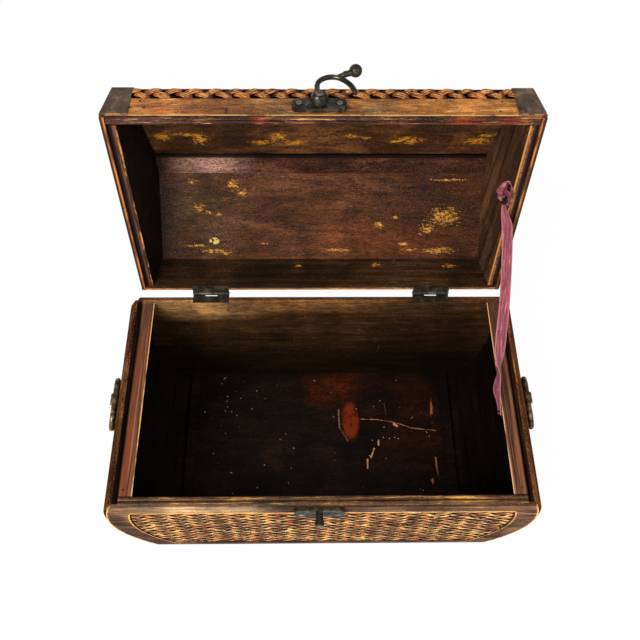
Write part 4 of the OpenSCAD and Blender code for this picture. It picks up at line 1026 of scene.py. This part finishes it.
def in_lid_end(u, v):
    """Distance inside the lid's outline set in by the rail's width, v being the height up the end."""
    h = LID_MIDDLE + v * END_COS
    roof = (RIDGE - np.abs(u) * math.tan(SLOPE)) * math.cos(SLOPE) - LID_WINDOW_IN
    side = HALF_DEPTH - LID_WINDOW_IN - np.abs(u)
    return np.minimum(side, np.minimum(h - LID_WINDOW_IN, roof - h * math.cos(SLOPE)))


def lay_lid_end(side):
    """A function from (u, v, h) to points of the leaning end, v up the end and h out from it."""
    def lay(u, v, h):
        x = LID_HALF - FACE_SINK - LID_MIDDLE * math.tan(END_LEAN) - v * END_SIN + h * END_COS
        return swing(np.stack([side * x, u, LID_MIDDLE + v * END_COS + h * END_SIN], -1))
    return lay


def lid_end_distance(points):
    rim_half = LID_HALF - FACE_SINK
    return (np.abs(points[:, 0]) - (rim_half - shut(points)[:, 2] * math.tan(END_LEAN))) * END_COS


def lid_end_normal(points):
    x = points[:, 0]
    return lid_way(np.stack([np.sign(x) * END_COS, 0 * x, 0 * x + END_SIN], -1))


for side, name in ((-1, "lid_left"), (1, "lid_right")):
    woven_panel(name, "lid", weave(185, 64, in_lid_end, lay_lid_end(side), 7 + side), lid_end_distance,
                lid_end_normal, flip=side < 0)

RIDGE_ROUND = 5.0
ROOF_EDGE, ROOF_END = 9.6, 3.6       # how far the sheet stays from the eaves and from the lid's ends


def lay_roof(u, v, h):
    """v runs over the ridge along the roof's section. The ridge itself is rounded off."""
    far = np.sqrt(v * v + RIDGE_ROUND ** 2)
    y = v * math.cos(SLOPE) + h * v / far * math.sin(SLOPE)
    z = RIDGE - (far - RIDGE_ROUND * 0.35) * math.sin(SLOPE) + h * math.cos(SLOPE)
    return swing(np.stack([u, y, z], -1))


def in_roof(u, v):
    """Distance inside the sheet's edge, which stays clear of the boards and of the leaning ends."""
    y = np.abs(v * math.cos(SLOPE))
    end = LID_HALF - ROOF_END - (RIDGE - y * math.tan(SLOPE)) * math.tan(END_LEAN)
    return np.minimum(HALF_DEPTH - ROOF_EDGE - y, end - np.abs(u))


def roof_distance(points):
    y, h = shut(points).T[1:]
    return (h - (RIDGE - np.abs(y) * math.tan(SLOPE))) * math.cos(SLOPE)


def roof_normal(points):
    y = shut(points)[:, 1]
    return lid_way(np.stack([0 * y, np.sign(y) * math.sin(SLOPE), 0 * y + math.cos(SLOPE)], -1))


woven_panel("lid", "lid", weave(316, 186, in_roof, lay_roof, 9), roof_distance, roof_normal)

# %% [markdown]
# ## The plait over the eaves
#
# A flat braid of three strips is folded over the front and back eaves, half on the face and half on
# the roof. In a flat braid each strip swings from edge to edge as a sine, and rises and falls twice
# as often to pass over and under its neighbours. The three strips follow each other a third of a
# period apart. The braid is worked out flat, as a place across and a height, and then laid over the
# eave: up the face, round the corner, and along the slope.

# %% Fold a flat strip over the eave
EAVE_R, BOARD_H = 5.0, 22.5
ARC_Y = HALF_DEPTH - EAVE_R
ARC_H = RIDGE - ARC_Y * math.tan(SLOPE) - EAVE_R / math.cos(SLOPE)
ARC_TURN = math.pi / 2 - SLOPE
FACE_LEN, ARC_LEN = ARC_H - BOARD_H, EAVE_R * ARC_TURN
PLAIT_HALF = 149             # half the plait's length
BRAID_MIDDLE, BRAID_SWING, BRAID_HALF, BRAID_PERIOD = 6.7, 4.3, 2.7, 43.5
BRAID_SUNK, BRAID_RISE, BRAID_THICK = 0.95, 0.85, 0.5
BINDING_MIDDLE, BINDING_STEP, BINDING_HALF, BINDING_THICK = 16.1, 3.5, 1.7, 0.45


def over_eave(s, lift):
    """From the distance s up the face, round the corner and along the slope, and the height over the
    surface, to (depth, height) in the lid's section."""
    angle = math.pi - np.clip((s - FACE_LEN) / EAVE_R, 0, ARC_TURN)
    along = np.maximum(s - FACE_LEN - ARC_LEN, 0)
    y = -ARC_Y + (EAVE_R + lift) * np.cos(angle) + along * math.cos(SLOPE)
    h = ARC_H + (EAVE_R + lift) * np.sin(angle) + np.minimum(s - FACE_LEN, 0) + along * math.sin(SLOPE)
    return y, h


def oval(angles, thickness):
    """The height of a flat oval with square shoulders, by the angle round it."""
    return thickness * np.sign(np.sin(angles)) * np.sqrt(np.abs(np.sin(angles)))


def braid(phase, side, rng):
    """One strip: its middle swings from edge to edge as a sine with a little of its third harmonic, which
    straightens its run; its height is a sine of twice the pace. Its section is a flat oval with ribs, set
    square to the way the strip runs."""
    x = np.linspace(-PLAIT_HALF, PLAIT_HALF, 320)[:, None]
    p = 2 * math.pi * x / BRAID_PERIOD + phase + 0.16 * np.sin(x / 19 + rng.uniform(0, 6))
    middle = BRAID_MIDDLE + BRAID_SWING * (np.sin(p) - 0.10 * np.sin(3 * p)) + 0.25 * np.sin(x / 11 + phase)
    rise = BRAID_RISE * np.sin(2 * p) - BRAID_SUNK
    slope = np.gradient(middle, axis=0) / np.gradient(x, axis=0)
    norm = np.sqrt(1 + slope ** 2)
    t = np.linspace(0, 2 * math.pi, 25)[None, :-1]
    q = np.cos(t)
    rib = np.where(np.sin(t) > 0, 0.16 * np.abs(np.sin(1.5 * math.pi * q)), 0)
    height = rise + oval(t, BRAID_THICK) + rib
    across = BRAID_HALF * (1 + 0.1 * np.sin(x / 13 + 2 * phase)) * q
    y, h = over_eave(middle + across / norm, height)
    strip = np.stack([q + 0 * x, x + 0 * q, round(phase * 10) + 0 * (x + q)], -1)
    return np.stack([x - across * slope / norm, side * y, h], -1), strip, np.clip((height + 1.5) / 1.9, 0, 1)


def binding(number, side, rng):
    """A flat straw strip laid lengthwise on the roof behind the braid, to hold the woven sheet's edge."""
    x = np.linspace(-PLAIT_HALF, PLAIT_HALF, 90)[:, None]
    t = np.linspace(0, 2 * math.pi, 17)[None, :-1]
    middle = BINDING_MIDDLE + BINDING_STEP * number + 0.25 * np.sin(x / 23 + rng.uniform(0, 6))
    thick = oval(t, BINDING_THICK)
    y, h = over_eave(middle + BINDING_HALF * np.cos(t), thick - 0.6 + 0.12 * np.sin(x / 9 + number))
    strip = np.stack([np.cos(t) + 0 * x, x + 0 * t, 40 + number + 0 * (x + t)], -1)
    return np.stack([x + 0 * t, side * y, h], -1), strip, np.clip(0.6 + thick + 0 * x, 0, 1)


def eave_distance(points):
    """0 on the face and on the roof, and between them the distance from the corner's arc."""
    y, h = np.abs(shut(points).T[1]), shut(points).T[2]
    arc = np.where((y > ARC_Y) & (h > ARC_H), np.hypot(y - ARC_Y, h - ARC_H) - EAVE_R, -9)
    flat = np.minimum(np.abs(y - HALF_DEPTH), np.abs(roof_distance(points))) < ON_FACE
    return np.where(flat, 0, arc)


def eave_normal(points):
    """Out from the face, up from the slope, and from the arc's middle between them."""
    y, h = shut(points).T[1:]
    angle = np.clip(np.arctan2(h - ARC_H, np.abs(y) - ARC_Y), 0, ARC_TURN)
    angle[np.abs(y) > HALF_DEPTH - ON_FACE] = 0
    return lid_way(np.stack([0 * y, np.sign(y) * np.cos(angle), np.sin(angle)], -1))


def plait(name, node, side):
    """Three strips and two flat ones as one mesh, on the front eave for side 1, on the back for -1. Each
    strip's ends are closed by a ring drawn together in one point."""
    points, strips, heights, faces = [], [], [], []
    rng = np.random.default_rng(5 + side)
    parts = [braid(2 * math.pi * k / 3, side, rng) for k in range(3)]
    parts += [binding(k, side, rng) for k in range(2)]
    for p, strip, high in parts:
        ends = np.repeat(p[[0, -1]].mean(1)[:, None], p.shape[1], 1)
        p = np.concatenate([ends[:1], p, ends[1:]])
        strip, high = [np.concatenate([v[:1], v, v[-1:]]) for v in (strip, high)]
        faces.append(grid(*p.shape[:2], around=True) + sum(len(v) for v in points))
        points.append(p.reshape(-1, 3))
        strips.append(strip.reshape(-1, 3))
        heights.append(high.ravel())
    points, faces, high = np.concatenate(points), np.concatenate(faces), np.concatenate(heights)
    strands = make_piece(name, swing(points), faces if side < 0 else faces[:, ::-1], braid_straw,
                         strip=np.concatenate(strips), depth=np.stack([high, 0 * high, 0 * high], -1))
    ground = make_piece(name + "_ground", *lowered(node, eave_distance, eave_normal), backing, smooth=False)
    for piece in (strands, ground):
        fit(piece, "lid", node)
    print(name, "has", 2 * len(faces), "triangles")


plait("front_plait", "lid_front_braid", 1)
plait("back_plait", "lid_back_braid", -1)

# %% [markdown]
# ## The ribbon
#
# A faded crimson ribbon keeps the lid from falling back. It hangs from its fold on the lid's right
# end to a tack in the body, nearly straight, edge-on to the viewer once near its foot, where it
# bulges before it meets the wood. Its middle is a smooth curve through a few points, its width turns
# about that curve, and its edges curl a little. The fold at its top lies flat on the wood under two
# tacks, then turns off it and curls back as a loop.

# %% Velvet
def velvet():
    """Crimson pile: paler along its edges and on the creases' ridges as a painted sheen and highlight,
    and darker in the folds as painted shade.
    """
    f = Finish("velvet", 0.85, Sheen_Weight=0.4, Sheen_Roughness=0.4, Sheen_Tint=(224, 150, 165))
    across, along = f.carried("strip")[:2]
    crease = f.noise(1.4, 4, 0.6, at=f.join(f.times(across, 2.2), f.times(along, 0.05)))
    fuzz = f.noise(1500, 3)
    # The crease ramp is painted light and shade: pale on the ridges, dark in the folds.
    f.colour = f.ramp(crease, (0.34, (74, 20, 32)), (0.5, (140, 58, 72)), (0.66, (196, 116, 122)))
    f.lay(f.band(f.noise(60, 3), 0.4, 0.65, 0.45, 0.0), (88, 28, 42))
    f.lay(f.band(fuzz, 0.4, 0.7, 0.0, 0.25), (206, 118, 130))
    # A painted sheen along the edges.
    f.lay(f.band(f.math("ABSOLUTE", across), 0.72, 0.95, 0.0, 0.6), (204, 130, 138))
    return f.done(f.add(crease, fuzz, 0.4), 0.5, 0.5)


def cloth(name, points, strip, node):
    """A sheet of points as a piece of velvet half a millimetre thick, which stands for a CAD node."""
    obj = make_piece(name, points, grid(*points.shape[:2]), ribbon_cloth, strip=strip)
    areas = np.zeros(len(obj.data.polygons), np.float32)
    obj.data.polygons.foreach_get("area", areas)
    print(name, "area", round(areas.sum() / mm ** 2), "mm2")
    thickness = obj.modifiers.new("thickness", "SOLIDIFY")
    thickness.thickness = CLOTH_THICK * mm
    thickness.offset = 0
    with bpy.context.temp_override(object=obj, active_object=obj, selected_objects=[obj]):
        bpy.ops.object.modifier_apply(modifier="thickness")
    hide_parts(node)
    return obj


CLOTH_THICK = 0.5            # of the ribbon
ribbon_cloth = velvet()
print("velvet ready")

# %% The hanging ribbon
RIBBON_TOP = swing([0, -6.85, 3.5])
RIBBON_FOOT = np.array([0, -19.0, 131.0])
RIBBON_SAG = 5.0
# at these shares of the way from top to foot: the middle's X, the turn in degrees, and half the width
SHARES = [0, 0.035, 0.08, 0.15, 0.25, 0.41, 0.50, 0.57, 0.66, 0.72, 0.78, 0.87, 0.94, 1.0]
MIDDLE = [146.8, 147.4, 149.8, 150.8, 151.3, 151.0, 150.2, 149.2, 148.4, 147.8, 148.4, 146.4, 148.2,
          149.3]
TURNS = [0, 0, 0, 0, 5, 0, -5, 0, 10, 35, 82, 112, 95, 90]
HALF_W = [1.8, 2.6, 4.2, 4.4, 4.4, 4.4, 4.4, 4.5, 4.6, 4.7, 4.8, 4.8, 4.8, 4.8]


def smooth_through(values, at):
    """A smooth curve through values at SHARES: piecewise cubics whose slopes are the mean of both sides'."""
    shares, values = np.asarray(SHARES, float), np.asarray(values, float)
    step = np.diff(values) / np.diff(shares)
    slope = np.concatenate([step[:1], (step[1:] + step[:-1]) / 2, step[-1:]])
    i = np.clip(np.searchsorted(shares, at) - 1, 0, len(shares) - 2)
    w = shares[i + 1] - shares[i]
    t = (at - shares[i]) / w
    return ((2 * t ** 3 - 3 * t ** 2 + 1) * values[i] + (t ** 3 - 2 * t ** 2 + t) * w * slope[i]
            + (-2 * t ** 3 + 3 * t ** 2) * values[i + 1] + (t ** 3 - t ** 2) * w * slope[i + 1])


def ribbon_surface(rows=150, cols=13):
    """(share, across) to a point: the middle's point plus the width turned by the angle there, with the
    edges curled and a long shallow crease."""
    share, t = np.linspace(0, 1, rows)[:, None], np.linspace(-1, 1, cols)[None, :]
    way = RIBBON_FOOT - RIBBON_TOP
    middle = RIBBON_TOP + way * share - np.array([0, 0, RIBBON_SAG]) * np.sin(math.pi * share)
    middle[:, :1] += smooth_through(MIDDLE, share)
    angle = np.radians(smooth_through(TURNS, share))[..., None]
    half = smooth_through(HALF_W, share)
    down = np.gradient(middle, axis=0)
    down[:, 0] = 0
    down /= np.linalg.norm(down, axis=1, keepdims=True)
    up = np.stack([0 * down[:, 0], -down[:, 2], down[:, 1]], -1)[:, None, :]
    x = np.array([1.0, 0, 0])
    curl = (0.5 * t ** 4 + 0.22 * np.cos(9 * t + 10 * share) * (1 - t ** 2)) * half / 4.7
    wide, thick = x * np.cos(angle) + up * np.sin(angle), -x * np.sin(angle) + up * np.cos(angle)
    points = middle[:, None, :] + wide * (half * t)[..., None] + thick * curl[..., None]
    length = np.linalg.norm(way)
    return points, np.stack([t + 0 * share, share * length + 0 * t, 0 * (share + t)], -1), length


points, strip, ribbon_length = ribbon_surface()
ribbon = cloth("ribbon", points, strip, "ribbon_stay")
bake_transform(ribbon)
print("ribbon is", round(ribbon_length), "mm long")

# %% The fold that is tacked to the lid
FOLD_Y, FOLD_H, FOLD_HALF = -17.5, 4.5, 9.6
LID_MOUTH_IN = 11.1          # from the lid's outer edge to the inner face of its end, at the rim
LOOP_R, LOOP_TURN = 3.3, 1.45 * math.pi
FOLD_X = LID_HALF - LID_MOUTH_IN - FOLD_H * math.tan(END_LEAN)
FLAT_SHARE = 0.36            # how much of the fold lies flat on the wood


def fold_surface(rows=40, cols=30):
    """The cloth lies on the end's inner face, runs up past the tacks, turns off the wood and curls back
    as a loop. Along the lid it is a little puckered, and it narrows toward both ends."""
    k, j = np.linspace(0, 1, rows)[:, None], np.linspace(-1, 1, cols)[None, :]
    flat = np.minimum(k / FLAT_SHARE, 1)
    turn = np.clip((k - FLAT_SHARE) / (1 - FLAT_SHARE), 0, 1) * LOOP_TURN
    loop = LOOP_R * (1 - 0.35 * j ** 4) * (1 + 0.12 * np.sin(5 * j + 2))
    h = 0.8 + 7.2 * flat + loop * np.sin(turn) * 0.75
    off = 0.45 + 0.15 * np.sin(7 * j) * (1 - flat) + loop * (1 - np.cos(turn)) * 1.15
    y = FOLD_Y + FOLD_HALF * j * (1 - 0.12 * np.sin(turn * 0.7)) + 0.4 * np.sin(11 * k)
    x = FOLD_X + (FOLD_H - h) * math.tan(END_LEAN) - off
    return swing(np.stack([x, y, h], -1)), np.stack([j + 0 * k, 24 * k + 0 * j, 1 + 0 * (k + j)], -1)


fold = cloth("ribbon_fold_cloth", *fold_surface(), "ribbon_fold")
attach(fold, "lid")

# %% [markdown]
# ## The little nails
#
# The caps and the face board are held by small domed nails. Each is a cap of a sphere, made from
# rings that shrink to its top.

# %% Nail heads
def nail(centre, normal, radius=0.9):
    """A dome: rings at angle t from the rim to the top, radius cos(t) wide and 0.55 sin(t) high."""
    normal = np.asarray(normal, float) / np.linalg.norm(normal)
    side = np.cross(normal, [1.0, 0.2, 0.1])
    side /= np.linalg.norm(side)
    t = np.linspace(-0.5, math.pi / 2 - 0.02, 6)[:, None, None]
    a = np.linspace(0, 2 * math.pi, 15)[None, :-1, None]
    out = np.cos(a) * side + np.sin(a) * np.cross(normal, side)
    return np.asarray(centre, float) + radius * (np.cos(t) * out + 0.55 * np.sin(t) * normal)


def nails(name, places, body):
    """Many nail heads as one piece; places holds each one's centre and the way it points."""
    domes = np.stack([nail(*place) for place in places])
    size = domes.shape[1] * domes.shape[2]
    faces = np.concatenate([grid(*domes.shape[1:3], around=True) + i * size for i in range(len(domes))])
    fit(make_piece(name, domes, faces, bronze), body)
    print(name, len(places), "nails")


ON_CAP, ON_BOARD = HALF_DEPTH + 0.8, HALF_DEPTH
lid_spots = [(-152.5, 20.0, ON_CAP), (-141, 11, ON_CAP), (-154, 8, ON_CAP), (153, 19, ON_CAP),
             (142.5, 10.5, ON_CAP), (146.5, 7.5, ON_CAP), (-130, 11.5, ON_BOARD), (-134, 19.5, ON_BOARD),
             (131, 19, ON_BOARD), (128, 8, ON_BOARD)]
rim_spots = [(x, y, RIM) for y in (-84.5, 82.0) for x in (-157.5, 157.5)]
nails("lid_nails", [(swing([x, -y, h]), lid_front_out) for x, h, y in lid_spots], "lid")
nails("rim_nails", [(spot, (0, 0, 1)) for spot in rim_spots], "chest")

# %% [markdown]
# ## Light, floor and background
#
# The picture is a plain studio shot on white. A large soft lamp hangs over the front and to the left,
# a weaker one fills from the right, a low one in front lights the woven front, and the world adds an
# even light. The floor is white to the camera but still takes the chest's shadow.

# %% Floor
f = Finish("floor", 0.9)
f.put(f.shader.inputs["Base Color"], (232, 230, 226))
path = f.node("ShaderNodeLightPath").outputs
looked_at = f.largest(path["Is Camera Ray"], path["Is Glossy Ray"], path["Is Transmission Ray"])
glow = f.node("ShaderNodeEmission", {"Color": (255, 255, 255), "Strength": 1.02})
f.mix_shaders(f.times(looked_at, 0.93), f.shader.outputs[0], glow.outputs[0], "Material Output")
REACH, UNDER = 3000, 0.3     # the floor's half width, and how far it lies under the chest
corners = [[x * REACH, y * REACH, -UNDER] for x, y in ((-1, -1), (1, -1), (1, 1), (-1, 1))]
make_piece("floor", corners, [[0, 1, 2, 3]], f.material)
print("floor laid")

# %% Lamps and world
world = bpy.data.worlds.new("studio")
bpy.context.scene.world = world
w = Tree(world)
rays = w.node("ShaderNodeLightPath").outputs
even_light = w.node("ShaderNodeBackground", {"Color": (255, 255, 255), "Strength": 0.45}).outputs[0]
seen = w.node("ShaderNodeBackground", {"Strength": 1.02}).outputs[0]
w.mix_shaders(w.largest(rays["Is Camera Ray"], rays["Is Transmission Ray"]), even_light, seen,
              "World Output")


def lamp(name, place, aim, size, watts):
    """A square soft lamp at a place, pointing at aim, all in metres. A lamp shines along its own -Z."""
    data = bpy.data.lights.new(name, "AREA")
    data.size = size
    data.energy = watts
    obj = bpy.data.objects.new(name, data)
    bpy.context.scene.collection.objects.link(obj)
    back = np.array(place, float) - np.array(aim, float)
    back /= np.linalg.norm(back)
    side = np.cross([0, 0, 1.0], back)
    side /= np.linalg.norm(side)
    rows = np.stack([side, np.cross(back, side), back], 1)
    obj.matrix_world = Matrix.Translation(place) @ Matrix(rows.tolist()).to_4x4()


lamp("key", (-0.9, -0.9, 1.5), (0, 0.05, 0.15), 0.9, 24)
lamp("fill", (1.1, -0.5, 1.2), (0, 0.05, 0.15), 0.9, 8)
lamp("front", (-0.35, -1.6, 0.45), (0, -0.1, 0.08), 0.7, 9)
bpy.context.scene.view_settings.view_transform = "Standard"
print("lamps:", len(bpy.data.lights))
